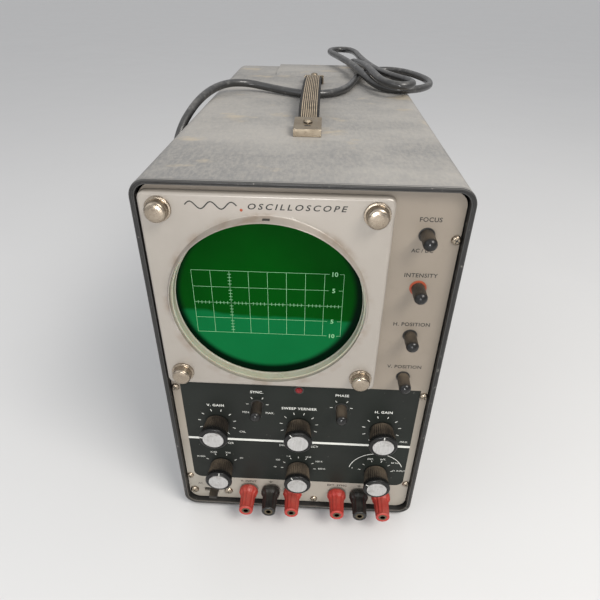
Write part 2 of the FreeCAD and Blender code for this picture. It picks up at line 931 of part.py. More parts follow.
def make_slide_switch():
    rear_face = back(d.panel_at) + d.panel_thickness + 0.05
    half_z = d.button_height / 2
    half_slot = (d.button_width + d.button_travel) / 2 + 0.6
    body = block(
        "SwitchBody", -94.2, -56.4, rear_face, rear_face + 10, d.switch_height - 6.5, d.switch_height + 6.5
    )
    cavity = block(
        "SwitchCavity",
        d.switch_x - half_slot,
        d.switch_x + half_slot,
        rear_face - 1,
        rear_face + 6,
        d.switch_height - half_z - 0.6,
        d.switch_height + half_z + 0.6,
    )
    tools = [cavity]
    for number, (x, z) in enumerate(SWITCH_SCREWS):
        tools.append(rod("SwitchScrewHole%d" % number, 1.9, 12, x, rear_face - 1, z))
    subpart("slide_switch_body", cut("SlideSwitch", body, *tools))
    right = d.switch_x + (d.button_width + d.button_travel) / 2
    button = block(
        "Button",
        right - d.button_width,
        right,
        back(-3.5),
        rear_face + 5,
        d.switch_height - half_z,
        d.switch_height + half_z,
    )
    subpart("slide_switch_button", button)


# Binding posts: a drilled stud through the panel and a cap that unscrews on it.


def make_posts():
    tip = back(-d.post_reach) + 0.4
    panel_face = back(d.panel_at) - 0.05
    washer = 1.0
    floor_at = tip + d.socket_depth
    stud_profile = [
        (d.socket_radius, tip),
        (d.stud_radius, tip),
        (d.stud_radius, panel_face - washer),
        (5.0, panel_face - washer),
        (5.0, panel_face),
        (d.stud_radius, panel_face),
        (d.stud_radius, panel_face + 20),
        (0, panel_face + 20),
        (0, floor_at),
        (d.socket_radius, floor_at),
    ]
    cap_bore = d.stud_radius + d.running_gap
    cap_front, cap_rear = back(-d.post_reach), panel_face - washer - 0.3
    cap_profile = [
        (cap_bore, cap_front),
        (d.post_radius - 1.0, cap_front),
        (d.post_radius - 0.4, cap_front + 0.6),
        (d.post_radius, cap_rear - 7.5),
        (d.collar_radius, cap_rear - 4.0),
        (d.collar_radius, cap_rear - 0.8),
        (d.collar_radius - 0.8, cap_rear),
        (cap_bore, cap_rear),
    ]
    studs = []
    for name, step in POSTS.items():
        x = post_x(step)
        studs.append(turned(name + "Stud", stud_profile, x, 0, d.post_height))
        subpart(name + "_post_cap", turned(name + "Cap", cap_profile, x, 0, d.post_height))
    subpart("post_studs", gathered("PostStuds", studs))


# Handle: a ribbed strap whose thin ends lie loose under two screwed brackets.


def bracket_profile(end, inward):
    """The hood's roof and front wall, from its outer end; inward is 1 at the front."""
    wall = 1.3
    low = d.case_top + 0.05
    roof_rise = 3.0
    points = [
        (end, low),
        (end + inward * wall, low),
        (end + inward * wall, d.case_top + 5.5 - wall),
        (end + inward * d.bracket_length, d.case_top + 5.5 + roof_rise - wall),
        (end + inward * d.bracket_length, d.case_top + 5.5 + roof_rise),
        (end, d.case_top + 5.5),
    ]
    cheek = [
        (end, low),
        (end + inward * d.bracket_length, low),
        (end + inward * d.bracket_length, d.case_top + 5.5 + roof_rise),
        (end, d.case_top + 5.5),
    ]
    if inward < 0:
        points.reverse()
        cheek.reverse()
    return points, cheek


def make_handle():
    half = d.bracket_width / 2
    cheek_width = 1.3
    brackets = []
    ends = ((back(d.handle_front_at), 1), (back(d.handle_rear_at), -1))
    for number, ((end, inward), screw_y) in enumerate(zip(ends, handle_screw_places())):
        roof, cheek = bracket_profile(end, inward)
        hood = fused(
            "Hood%d" % number,
            strip("Roof%d" % number, [roof], -half, half),
            strip("LeftCheek%d" % number, [cheek], -half, -half + cheek_width),
            strip("RightCheek%d" % number, [cheek], half - cheek_width, half),
        )
        drill = rod("RoofDrill%d" % number, SCREW_HOLE, 12, 0, screw_y, d.case_top + 2, upright=True)
        brackets.append(cut("Bracket%d" % number, hood, drill))
    subpart("handle_brackets", gathered("Brackets", brackets))

    inset = 6.5
    tongue_low, tongue_high = d.case_top + 0.8, d.case_top + 2.6
    front, rear = back(d.handle_front_at + inset), back(d.handle_rear_at - inset)
    tongue, ramp = 15.0, 42.0
    under, over = d.case_top + 8.8, d.case_top + 12.6
    span = rear - front - 2 * ramp
    rise = 4.0
    bow = (span * span / 4 + rise * rise) / (2 * rise)
    outline = [
        (front, tongue_low),
        (front + tongue + 2, tongue_low),
        (front + ramp, under),
        (rear - ramp, under, -bow),
        (rear - tongue - 2, tongue_low),
        (rear, tongue_low),
        (rear, tongue_high),
        (rear - tongue, tongue_high),
        (rear - ramp, over),
        (front + ramp, over, bow),
        (front + tongue, tongue_high),
        (front, tongue_high),
    ]
    strap = strip("StrapBlank", [outline], -d.strap_width / 2, d.strap_width / 2)
    tools = []
    for number, y in enumerate(handle_screw_places()):
        tools.append(rod("StrapHole%d" % number, 3.0, 12, 0, y, d.case_top - 2, upright=True))
    subpart("handle_strap", cut("Strap", strap, *tools))


# Pan head screws: one profile, pointing along +Y from a face at y = 0.


def screw_profile(head, shank, length):
    height = head * 0.62
    return [
        (0, -height),
        (head * 0.55, -height),
        (head, -height * 0.35),
        (head, 0),
        (shank, 0),
        (shank, length),
        (0, length),
    ]


def make_screws():
    shank = 1.85
    screws = []
    face = back(d.panel_at) - 0.03
    for number, (x, z) in enumerate(PANEL_SCREWS):
        screws.append(turned("PanelScrew%d" % number, screw_profile(3.0, shank, 8.0), x, face, z))
    for number, (x, z) in enumerate(SWITCH_SCREWS):
        screws.append(turned("SwitchScrew%d" % number, screw_profile(3.6, 1.7, 9.0), x, face, z))
    rear_face = back(d.cover_at) + d.sheet + 0.03
    for number, (x, z) in enumerate(COVER_SCREWS):
        screw = turned("CoverScrew%d" % number, screw_profile(3.4, shank, 8.0), x, rear_face, z)
        screw.Placement.Rotation = FreeCAD.Rotation(V(0, 0, 1), 180)
        screws.append(screw)
    for number, (x, y) in enumerate(foot_places()):
        profile = [(0, 1.0), (3.4, 1.0), (3.4, 3.15), (shank, 3.15), (shank, 12.0), (0, 12.0)]
        screws.append(turned("FootScrew%d" % number, profile, x, y, 0, upright=True))
    roof = d.case_top + 5.5 + 3.0 * 13.5 / 23.5
    for number, y in enumerate(handle_screw_places()):
        profile = [
            (0, -12.0),
            (shank, -12.0),
            (shank, 0.5),
            (3.4, 0.5),
            (3.0, 1.9),
            (1.6, 2.4),
            (0, 2.4),
        ]
        screws.append(turned("HandleScrew%d" % number, profile, 0, y, roof, upright=True))
    subpart("pan_head_screws", gathered("Screws", screws))


# Mains lead: strain relief, free cord and two-blade plug.


def make_strain_relief():
    x, _, z = CORD_ROUTE[0]
    cover_rear = back(d.cover_at) + d.sheet
    end = back(d.relief_reach)
    grip = d.cord_diameter / 2
    profile = [
        (0, back(d.cover_at) - 5),
        (8.4, back(d.cover_at) - 5),
        (8.4, back(d.cover_at) - 1.5),
        (7.0, back(d.cover_at) - 1.5),
        (7.0, cover_rear + 0.1),
        (9.0, cover_rear + 0.1),
        (9.0, cover_rear + 2.6),
        (6.8, cover_rear + 3.2),
        (grip + 1.3, end),
        (0, end),
    ]
    subpart("strain_relief", turned("StrainRelief", profile, x, 0, z))


def rounded_path(points):
    """Straight runs joined by tangent arcs, each as large as its two runs allow."""
    edges = []
    radii = []
    length = 0.0
    start = points[0]
    for before, corner, after in zip(points, points[1:], points[2:]):
        arriving, leaving = (corner - before), (after - corner)
        shorter = min(arriving.Length, leaving.Length)
        arriving.normalize()
        leaving.normalize()
        turn = arriving.getAngle(leaving)
        setback = 0.45 * shorter
        radius = setback / math.tan(turn / 2)
        entry, exit_point = corner - arriving * setback, corner + leaving * setback
        inward = (leaving - arriving).normalize()
        middle = corner + inward * (radius / math.cos(turn / 2) - radius)
        edges.append(Part.LineSegment(start, entry).toShape())
        edges.append(Part.Arc(entry, middle, exit_point).toShape())
        length += start.distanceToPoint(entry) + radius * turn
        radii.append(radius)
        start = exit_point
    edges.append(Part.LineSegment(start, points[-1]).toShape())
    length += start.distanceToPoint(points[-1])
    return Part.Wire(edges), length, radii


def make_cord():
    points = [V(*point) for point in CORD_ROUTE]
    wire, length, radii = rounded_path(points)
    radius = d.cord_diameter.value / 2
    direction = points[1] - points[0]
    section = Part.Wire([Part.makeCircle(radius, points[0], direction)])
    tube = wire.makePipeShell([section], True, False)
    expected = math.pi * radius * radius * length
    print("cord length %.0f, volume over section times length %.4f" % (length, tube.Volume / expected))
    print("cord radii " + " ".join("%.0f" % value for value in radii))
    cord = doc.addObject("Part::Feature", "PowerCord")
    cord.Shape = tube
    subpart("power_cord", cord)


def make_plug():
    x, y, top = CORD_ROUTE[-1]
    half = 12.0
    body_top, body_low = top - 14.0, top - 38.0
    neck_profile = [(0, body_top - 1), (6.2, body_top - 1), (5.0, top), (0, top)]
    neck = turned("PlugNeck", neck_profile, x, y, 0, upright=True)
    outline = rounded(size(x - half), size(x + half), size(y - 7), size(y + 7), size(5))
    grip = slab("PlugGrip", [outline], body_low, body_top)
    subpart("plug_body", fused("Plug", neck, grip))
    blades = []
    pitch, thickness, width, reach = 12.7, 1.5, 6.35, 17.0
    for side in (-1, 1):
        middle = x + side * pitch / 2
        blades.append(
            block(
                "Blade%d" % (side + 1),
                middle - thickness / 2,
                middle + thickness / 2,
                y - width / 2,
                y + width / 2,
                body_low - reach,
                body_low - 0.02,
            )
        )
    subpart("plug_blades", gathered("Blades", blades))


def check_and_export():
    doc.recompute()
    failed = [thing.Name for thing in doc.Objects if {"Invalid", "Error"} & set(thing.State)]
    if failed:
        raise SystemExit("objects that did not compute: %s" % failed)
    os.makedirs("parts", exist_ok=True)
    for thing in SUBPARTS:
        shape = thing.Shape
        if shape.isNull() or not shape.isValid() or not shape.Solids:
            raise SystemExit("%s has no valid solid" % thing.Label)
    for thing in SUBPARTS:
        thing.Shape.exportStep(os.path.join("parts", thing.Label + ".step"))
    print("%d sub-parts" % len(SUBPARTS))


make_cabinet()
make_rear_cover()
make_front_panel()
make_bezel()
make_bezel_nuts()
make_cathode_ray_tube()
make_chassis_parts(make_chassis())
make_control_bodies()
for control, (control_x, control_z) in BIG_KNOBS.items():
    make_big_knob(control, control_x, control_z)
for control, (control_x, control_z) in SLIM_KNOBS.items():
    make_slim_knob(control, control_x, control_z)
make_pilot()
make_slide_switch()
make_posts()
make_handle()
make_feet()
make_screws()
make_strain_relief()
make_cord()
make_plug()
check_and_export()
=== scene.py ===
import json
import math

import bmesh
import bpy
from mathutils import Matrix, Vector


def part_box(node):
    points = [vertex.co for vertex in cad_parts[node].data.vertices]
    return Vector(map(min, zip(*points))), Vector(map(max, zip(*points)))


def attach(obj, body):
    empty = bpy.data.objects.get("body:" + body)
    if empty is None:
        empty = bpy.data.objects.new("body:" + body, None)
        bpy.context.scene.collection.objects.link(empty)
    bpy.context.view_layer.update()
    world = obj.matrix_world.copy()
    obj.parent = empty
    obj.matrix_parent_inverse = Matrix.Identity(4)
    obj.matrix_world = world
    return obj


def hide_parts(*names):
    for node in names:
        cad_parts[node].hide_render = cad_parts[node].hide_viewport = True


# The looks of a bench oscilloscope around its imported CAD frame. Shapes are worked out in
# millimetres in the row frame (+X right, +Y rear, +Z up) and stored in metres.

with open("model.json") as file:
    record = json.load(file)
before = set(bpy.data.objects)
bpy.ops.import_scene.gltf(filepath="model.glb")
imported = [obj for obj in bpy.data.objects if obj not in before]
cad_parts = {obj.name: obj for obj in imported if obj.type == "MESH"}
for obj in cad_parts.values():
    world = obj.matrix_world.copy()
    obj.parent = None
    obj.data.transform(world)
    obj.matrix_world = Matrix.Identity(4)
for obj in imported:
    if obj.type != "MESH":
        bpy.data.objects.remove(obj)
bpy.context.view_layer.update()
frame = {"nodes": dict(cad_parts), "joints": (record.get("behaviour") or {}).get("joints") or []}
MM = 0.001
BODY = "cabinet"
JOINTS = {joint["name"]: joint for joint in frame["joints"]}


def cad(node):
    """A CAD node's lowest and highest corner, in millimetres."""
    low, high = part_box(node)
    return Vector(low) / MM, Vector(high) / MM


def middle(node):
    low, high = cad(node)
    return (low + high) / 2


# ---------------------------------------------------------------- materials


class Surface:
    """A principled material with short calls for the nodes that this scene uses."""

    def __init__(self, name, **settings):
        self.material = bpy.data.materials.new(name)
        self.material.use_nodes = True
        self.tree = self.material.node_tree
        self.shader = self.tree.nodes["Principled BSDF"]
        self.place = self.add("ShaderNodeTexCoord").outputs["Object"]
        for socket, value in settings.items():
            self.shader.inputs[socket.replace("_", " ")].default_value = value

    def add(self, kind, inputs=(), **settings):
        made = self.tree.nodes.new(kind)
        for name, value in settings.items():
            setattr(made, name, value)
        for key, value in dict(inputs).items():
            if isinstance(value, bpy.types.NodeSocket):
                self.tree.links.new(value, made.inputs[key])
            else:
                made.inputs[key].default_value = value
        return made

    def connect(self, socket, value):
        self.tree.links.new(value, self.shader.inputs[socket])

    def noise(self, scale, detail=5.0, stretch=(1, 1, 1)):
        """Noise from 0 to 1. scale is in features per metre."""
        mapped = self.add("ShaderNodeMapping", {"Vector": self.place, "Scale": stretch})
        inputs = {"Vector": mapped.outputs[0], "Scale": scale, "Detail": detail, "Roughness": 0.6}
        return self.add("ShaderNodeTexNoise", inputs).outputs["Fac"]

    def remap(self, value, low, high, out_low=0.0, out_high=1.0):
        inputs = {0: value, 1: low, 2: high, 3: out_low, 4: out_high}
        return self.add("ShaderNodeMapRange", inputs, interpolation_type="SMOOTHSTEP").outputs[0]

    def math(self, operation, left, right=0.5):
        return self.add("ShaderNodeMath", {0: left, 1: right}, operation=operation).outputs[0]

    def times(self, product, *others):
        for other in others:
            product = self.math("MULTIPLY", product, other)
        return product

    def mix(self, factor, left, right):
        inputs = {0: factor, 6: left, 7: right}
        return self.add("ShaderNodeMix", inputs, data_type="RGBA").outputs[2]

    def axis(self, index):
        return self.add("ShaderNodeSeparateXYZ", {0: self.place}).outputs[index]

    def facing_up(self):
        normal = self.add("ShaderNodeNewGeometry").outputs["Normal"]
        return self.remap(self.add("ShaderNodeSeparateXYZ", {0: normal}).outputs[2], 0.25, 0.95)

    def on_roof(self):
        """1 on upward faces near the cabinet's top, 0 elsewhere, as on its floor."""
        high = self.remap(self.axis(2), 0.26, 0.29)
        return self.times(self.facing_up(), high)

    def bump(self, height, strength, distance):
        inputs = {"Height": height, "Strength": strength, "Distance": distance}
        made = self.add("ShaderNodeBump", inputs)
        self.connect("Normal", made.outputs[0])

    def roughness(self, value, low, high):
        self.connect("Roughness", self.remap(value, 0.25, 0.75, low, high))


def grey(value, warmth=0.0, alpha=1.0):
    """A near-neutral colour; warmth above 0 leans to tan, below 0 to blue."""
    return (value * (1 + warmth), value, value * (1 - 1.6 * warmth), alpha)


DUST = (0.42, 0.36, 0.27, 1)
STRAP_RIBS = 8
STRAP_RIBBED = 12.6
LIP_Y = cad("cabinet_shell")[0].y * MM


def cabinet_paint():
    """Grained grey enamel: dusty and wiped on top, darker on its sides and front lip. The lighter top is
    partly dust and partly painted light on the faces that look up.
    """
    s = Surface("cabinet_enamel", Specular_IOR_Level=0.35)
    # Upward faces near the top take the lighter top colour: partly dust, partly painted light.
    up = s.on_roof()
    sides = s.mix(s.noise(12, 8), grey(0.026), grey(0.046, 0.03))
    rubbed = s.remap(s.noise(26, 9, (1, 2.2, 0.8)), 0.56, 0.78)
    sides = s.mix(s.times(rubbed, 0.45), sides, grey(0.095, 0.06))
    scratches = s.remap(s.noise(85, 3, (1, 0.5, 6)), 0.68, 0.76)
    sides = s.mix(s.times(scratches, 0.35), sides, grey(0.16, 0.04))
    low_dust = s.remap(s.axis(2), 0.060, 0.005, 0, 0.30)
    sides = s.mix(s.times(low_dust, s.noise(50, 8)), sides, DUST)
    wiped = s.noise(7, 9, (1, 1.8, 1))
    top = s.mix(s.remap(wiped, 0.32, 0.68), grey(0.195, 0.01), grey(0.315, 0.04))
    grain = s.noise(520, 3, (1, 0.35, 1))
    top = s.mix(s.remap(grain, 0.3, 0.75, 0, 0.40), top, grey(0.38, 0.07))
    streaks = s.remap(s.noise(30, 4, (0.45, 3, 1)), 0.68, 0.80)
    top = s.mix(s.times(streaks, 0.55), top, grey(0.50, 0.06))
    tan = s.remap(s.noise(34, 9, (0.6, 1, 1)), 0.57, 0.68)
    top = s.mix(s.times(tan, 0.70), top, DUST)
    # Painted light and dust: the lighter top on upward faces, the darker sides elsewhere.
    colour = s.mix(up, sides, top)
    specks = s.remap(s.noise(700, 2), 0.70, 0.78)
    colour = s.mix(s.times(specks, 0.35), colour, grey(0.45, 0.08))
    s.connect("Base Color", colour)
    s.roughness(s.noise(60), 0.42, 0.68)
    s.bump(grain, 0.40, 0.0004)
    return s.material


def lip_paint():
    s = Surface("lip_enamel", Specular_IOR_Level=0.35)
    worn = s.remap(s.noise(220, 8), 0.60, 0.74)
    # Near black, darker than the cabinet's sides: painted shade of the gap between the lip and the panel.
    colour = s.mix(s.noise(40), grey(0.010), grey(0.024, 0.03))
    colour = s.mix(s.times(worn, 0.6), colour, grey(0.30, 0.06))
    # Upward faces near the top turn lighter grey: partly dust, partly painted light.
    s.connect("Base Color", s.mix(s.on_roof(), colour, grey(0.15, 0.03)))
    s.roughness(s.noise(120), 0.28, 0.50)
    s.bump(s.noise(800, 3), 0.2, 0.0003)
    return s.material


def panel_paint():
    """Satin warm taupe, paler low down, with grime in patches."""
    s = Surface("panel_taupe", Specular_IOR_Level=0.45)
    colour = s.mix(s.noise(14), (0.195, 0.165, 0.131, 1), (0.246, 0.209, 0.168, 1))
    colour = s.mix(s.remap(s.axis(2), 0.17, 0.03, 0, 0.75), colour, (0.345, 0.320, 0.275, 1))
    grime = s.remap(s.noise(45, 9), 0.55, 0.85)
    s.connect("Base Color", s.mix(s.times(grime, 0.35), colour, (0.13, 0.105, 0.08, 1)))
    s.roughness(s.noise(80), 0.34, 0.52)
    s.bump(s.noise(1200, 2), 0.10, 0.0002)
    return s.material


def field_paint():
    """The charcoal control field, with a slight green cast and small chips."""
    s = Surface("field_charcoal", Specular_IOR_Level=0.15)
    colour = s.mix(s.noise(10), (0.0135, 0.013, 0.0125, 1), (0.015, 0.020, 0.016, 1))
    chips = s.remap(s.noise(420, 3), 0.73, 0.77)
    s.connect("Base Color", s.mix(s.times(chips, 0.6), colour, grey(0.30, 0.05)))
    s.roughness(s.noise(70), 0.38, 0.56)
    s.bump(s.noise(1300, 2), 0.12, 0.0002)
    return s.material


def bezel_plastic():
    s = Surface("bezel_silver", Metallic=0.25, Coat_Weight=0.35, Coat_Roughness=0.18)
    colour = s.mix(s.noise(12), (0.275, 0.248, 0.217, 1), (0.350, 0.320, 0.284, 1))
    stain = s.remap(s.noise(34, 8), 0.60, 0.85)
    colour = s.mix(s.times(stain, 0.4), colour, (0.20, 0.165, 0.13, 1))
    centre = middle("graticule_filter") * MM
    offset = s.add("ShaderNodeVectorMath", {0: s.place, 1: tuple(centre)}, operation="DISTANCE")
    around = s.remap(offset.outputs["Value"], 0.0705, 0.0660)
    handled = s.times(around, s.remap(s.noise(60, 8), 0.42, 0.72, 0, 0.6))
    s.connect("Base Color", s.mix(handled, colour, (0.19, 0.13, 0.085, 1)))
    s.roughness(s.noise(90), 0.30, 0.46)
    s.bump(s.noise(1500, 2), 0.08, 0.0002)
    return s.material


def cream_plastic():
    s = Surface("cream_plastic", Subsurface_Weight=0.15, Coat_Weight=0.3)
    colour = s.mix(s.noise(25), (0.33, 0.31, 0.235, 1), (0.46, 0.44, 0.345, 1))
    grime = s.remap(s.axis(2), middle("light_ring").z * MM, cad("light_ring")[0].z * MM, 0, 0.45)
    grime = s.times(grime, s.remap(s.noise(55, 8), 0.35, 0.7))
    s.connect("Base Color", s.mix(grime, colour, (0.25, 0.20, 0.12, 1)))
    s.roughness(s.noise(60), 0.25, 0.42)
    return s.material


def green_filter():
    """Tinted sheet with painted light and shade: deep green above, a brighter painted lit patch low down,
    and painted shade, near black, at its rim.
    """
    s = Surface("green_filter", Specular_IOR_Level=0.03)
    centre = middle("graticule_filter") * MM
    tilt = s.times(s.axis(0), 0.03)
    wave = s.times(s.noise(26, 2), 0.010)
    level = s.math("ADD", s.math("ADD", s.axis(2), tilt), wave)
    # Painted light: the sheet turns brighter below this wavy level.
    lit = s.remap(level, centre.z - 0.0060, centre.z - 0.0095)
    upper = s.mix(s.noise(18, 3), (0.000, 0.026, 0.001, 1), (0.000, 0.064, 0.003, 1))
    lower = s.mix(s.noise(18, 2), (0.001, 0.080, 0.019, 1), (0.004, 0.125, 0.036, 1))
    colour = s.mix(lit, upper, lower)
    bright_centre = (centre.x - 0.001, centre.y, centre.z + 0.003)
    offset = s.add("ShaderNodeVectorMath", {0: s.place, 1: bright_centre}, operation="DISTANCE")
    # Painted shade, near black, around the filter's edge in its recess.
    rim = s.remap(offset.outputs["Value"], 0.0555, 0.0605)
    s.connect("Base Color", s.mix(rim, colour, (0.000, 0.006, 0.002, 1)))
    s.roughness(s.noise(40), 0.06, 0.14)
    return s.material


def plated(name, dark, light, low, high):
    s = Surface(name, Metallic=1.0)
    spots = s.remap(s.noise(380, 6), 0.58, 0.80)
    colour = s.mix(s.noise(90), dark, light)
    tarnish = (dark[0] * 0.35, dark[1] * 0.28, dark[2] * 0.20, 1)
    s.connect("Base Color", s.mix(s.times(spots, 0.7), colour, tarnish))
    s.roughness(s.noise(200), low, high)
    s.bump(s.noise(1600, 2), 0.10, 0.0001)
    return s.material


def black_plastic(name, dustiness, gloss):
    """Moulded black: glossy at the tips and faces, brown dust further back on the sides."""
    s = Surface(name, Specular_IOR_Level=0.22, Coat_Weight=gloss, Coat_Roughness=0.05)
    behind = s.remap(s.axis(1), LIP_Y - 0.0095, LIP_Y - 0.0060)
    patches = s.remap(s.noise(38, 7), 0.36, 0.66, 0.15, 1.0)
    upward = s.remap(s.facing_up(), 0, 1, 0.25 * dustiness, dustiness)
    dust = s.times(behind, patches, upward)
    s.connect("Base Color", s.mix(dust, grey(0.008), (0.155, 0.120, 0.084, 1)))
    s.connect("Roughness", s.remap(dust, 0.0, 0.6, 0.32, 0.75))
    s.bump(s.noise(1400, 3), 0.15, 0.0002)
    return s.material


def moulded(name, dark, light, low, high, dusty=0.0):
    s = Surface(name, Specular_IOR_Level=0.4)
    colour = s.mix(s.noise(150), dark, light)
    dust = s.times(s.facing_up(), s.remap(s.noise(90, 7), 0.3, 0.7), dusty)
    s.connect("Base Color", s.mix(dust, colour, DUST))
    s.roughness(s.noise(180), low, high)
    s.bump(s.noise(1500, 3), 0.12, 0.0002)
    return s.material


def spun_aluminium():
    """Handled metal: dull patches, fine upright scratches and a brighter, polished remainder."""
    s = Surface("spun_aluminium", Metallic=1.0, Anisotropic=0.5)
    scratches = s.noise(1500, 3, (1, 1, 0.06))
    metal = s.mix(scratches, grey(0.46, 0.01), grey(0.80, 0.01))
    dull = s.remap(s.noise(130, 7), 0.48, 0.72, 0, 0.55)
    s.connect("Base Color", s.mix(dull, metal, grey(0.34, 0.05)))
    s.roughness(s.noise(260), 0.26, 0.52)
    s.bump(scratches, 0.15, 0.0001)
    return s.material


def strap_rubber():
    """Tan dust on the raised ribs and black rubber between and beside them."""
    s = Surface("strap_rubber", Specular_IOR_Level=0.3)
    across = s.math("ABSOLUTE", s.axis(0))
    ribbed = s.remap(across, STRAP_RIBBED / 2 * MM, (STRAP_RIBBED / 2 + 0.4) * MM, 1, 0)
    phase = s.times(across, 2 * math.pi * STRAP_RIBS / (STRAP_RIBBED * MM))
    crests = s.remap(s.math("COSINE", phase), 0.9, -0.4)
    patches = s.remap(s.noise(160, 8), 0.2, 0.6, 0.45, 1)
    dust = s.times(s.facing_up(), ribbed, crests, patches)
    colour = s.mix(s.noise(200), grey(0.016), grey(0.030))
    s.connect("Base Color", s.mix(dust, colour, (0.40, 0.325, 0.235, 1)))
    s.roughness(s.noise(300), 0.55, 0.85)
    s.bump(s.noise(1500, 4), 0.3, 0.0003)
    return s.material


def cord_rubber():
    """Worn satin sheath: dark, with grey scuffs along it and pale dust on its top."""
    s = Surface("cord_rubber", Specular_IOR_Level=0.6, Coat_Weight=0.45, Coat_Roughness=0.16)
    colour = s.mix(s.noise(60), grey(0.012), grey(0.026, 0.02))
    scuffs = s.remap(s.noise(190, 8), 0.55, 0.72)
    colour = s.mix(s.times(scuffs, 0.5), colour, grey(0.15, 0.03))
    dust = s.times(s.facing_up(), s.remap(s.noise(90, 6), 0.45, 0.75, 0, 0.22))
    s.connect("Base Color", s.mix(dust, colour, grey(0.30, 0.06)))
    s.roughness(s.noise(240), 0.30, 0.55)
    s.bump(s.noise(700, 4), 0.2, 0.0003)
    return s.material


def ink(name, colour):
    s = Surface(name, Specular_IOR_Level=0.3)
    thin = s.remap(s.noise(900, 3), 0.62, 0.80)
    faded = tuple(channel * 0.6 + 0.08 for channel in colour[:3]) + (1,)
    s.connect("Base Color", s.mix(s.times(thin, 0.6), colour, faded))
    s.roughness(s.noise(300), 0.45, 0.65)
    return s.material


def glass():
    s = Surface("tube_glass", IOR=1.5, Transmission_Weight=0.85)
    s.connect("Base Color", s.mix(s.noise(40), (0.80, 0.86, 0.83, 1), (0.92, 0.95, 0.93, 1)))
    s.roughness(s.noise(80), 0.02, 0.10)
    return s.material


def floor_paint():
    s = Surface("studio_floor")
    s.connect("Base Color", s.mix(s.noise(3), grey(0.60), grey(0.63)))
    s.roughness(s.noise(9), 0.6, 0.75)
    return s.material


CABINET = cabinet_paint()
LIP = lip_paint()
PANEL = panel_paint()
FIELD = field_paint()
BEZEL = bezel_plastic()
CREAM = cream_plastic()
FILTER = green_filter()
NICKEL = plated("dull_nickel", (0.22, 0.175, 0.13, 1), (0.48, 0.415, 0.335, 1), 0.20, 0.36)
BRACKET = plated("dusty_plating", (0.20, 0.155, 0.11, 1), (0.48, 0.415, 0.32, 1), 0.36, 0.58)
STEEL = plated("zinc_sheet", (0.40, 0.40, 0.38, 1), (0.55, 0.55, 0.53, 1), 0.35, 0.55)
BRASS = plated("plated_brass", (0.45, 0.40, 0.30, 1), (0.62, 0.56, 0.44, 1), 0.25, 0.40)
TARNISHED = plated("tarnished_studs", (0.10, 0.08, 0.05, 1), (0.22, 0.18, 0.12, 1), 0.35, 0.55)
BLACK = black_plastic("black_phenolic", 0.80, 0.08)
SLIM_BLACK = black_plastic("slim_black", 0.60, 0.28)
FIBRE = moulded("black_fibre", grey(0.018), grey(0.035, 0.05), 0.45, 0.65)
RED = moulded("red_plastic", (0.27, 0.018, 0.014, 1), (0.41, 0.040, 0.028, 1), 0.34, 0.52, 0.10)
BLACK_POST = moulded("black_post", grey(0.007), grey(0.015, 0.05), 0.30, 0.50, 0.06)
JEWEL = moulded("red_jewel", (0.13, 0.004, 0.006, 1), (0.20, 0.008, 0.010, 1), 0.08, 0.16)
ORANGE = moulded("orange_washer", (0.24, 0.040, 0.018, 1), (0.36, 0.075, 0.028, 1), 0.4, 0.6)
RUBBER = moulded("black_rubber", grey(0.018), grey(0.030), 0.6, 0.8, 0.2)
IRON = moulded("varnished_iron", (0.05, 0.04, 0.035, 1), (0.09, 0.07, 0.06, 1), 0.4, 0.6)
SPUN = spun_aluminium()
STRAP = strap_rubber()
CORD = cord_rubber()
GLASS = glass()
WHITE_INK = ink("white_ink", (0.62, 0.62, 0.58, 1))
DARK_INK = ink("dark_ink", (0.030, 0.028, 0.026, 1))
GRATICULE_INK = ink("graticule_ink", (0.19, 0.42, 0.22, 1))

CAD_FINISHES = {
    CABINET: ["cabinet_shell", "rear_cover"],
    PANEL: ["front_panel"],
    CREAM: ["light_ring"],
    FILTER: ["graticule_filter"],
    GLASS: ["crt_tube", "vacuum_tubes"],
    STEEL: ["chassis", "crt_shield", "potentiometers", "slide_switch_body", "filter_capacitor"],
    FIBRE: ["crt_socket", "tube_sockets", "rotary_switches", "transformer_bells"],
    IRON: ["power_transformer"],
    BRASS: ["plug_blades"],
    TARNISHED: ["post_studs"],
    RUBBER: ["feet"],
    BRACKET: ["pan_head_screws"],
}


def finish_cad_nodes():
    for material, nodes in CAD_FINISHES.items():
        for node in nodes:
            paint(frame["nodes"][node], material)
    for name in frame["nodes"]:
        if name.endswith("_knob_disc"):
            paint(frame["nodes"][name], SPUN)
        elif name.endswith("_shaft"):
            paint(frame["nodes"][name], BRASS)


def paint(thing, material):
    thing.data.materials.clear()
    thing.data.materials.append(material)


# ---------------------------------------------------------------- mesh tools


def piece(name, mesh, material, slot, body=BODY, replaces=()):
    """A finished object in the scene, riding on a body."""
    made = bpy.data.objects.new(name, mesh)
    bpy.context.scene.collection.objects.link(made)
    paint(made, material)
    if made.type == "MESH":
        made.modifiers.new("even_shading", "WEIGHTED_NORMAL").keep_sharp = True
    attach(made, body)
    if replaces:
        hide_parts(*replaces)
    return made


def mesh_of(name, shape, smooth_angle=35):
    """A mesh in metres from a bmesh in millimetres, smooth below the given angle."""
    bmesh.ops.scale(shape, vec=(MM, MM, MM), verts=shape.verts)
    bmesh.ops.recalc_face_normals(shape, faces=shape.faces)
    limit = math.radians(smooth_angle)
    for face in shape.faces:
        face.smooth = True
    for edge in shape.edges:
        if len(edge.link_faces) == 2 and edge.calc_face_angle() > limit:
            edge.smooth = False
    mesh = bpy.data.meshes.new(name)
    shape.to_mesh(mesh)
    shape.free()
    return mesh


def softened_corners(points, reach, steps=3):
    """The points with each inner corner cut by a short curve that starts reach before it."""
    result = [points[0]]
    for before, corner, after in zip(points, points[1:], points[2:]):
        before, corner, after = Vector(before), Vector(corner), Vector(after)
        into, out = before - corner, after - corner
        near = min(reach, into.length * 0.45, out.length * 0.45)
        first, last = corner + into.normalized() * near, corner + out.normalized() * near
        for step in range(steps + 1):
            t = step / steps
            result.append(tuple(first * (1 - t) ** 2 + corner * 2 * t * (1 - t) + last * t * t))
    result.append(points[-1])
    return result


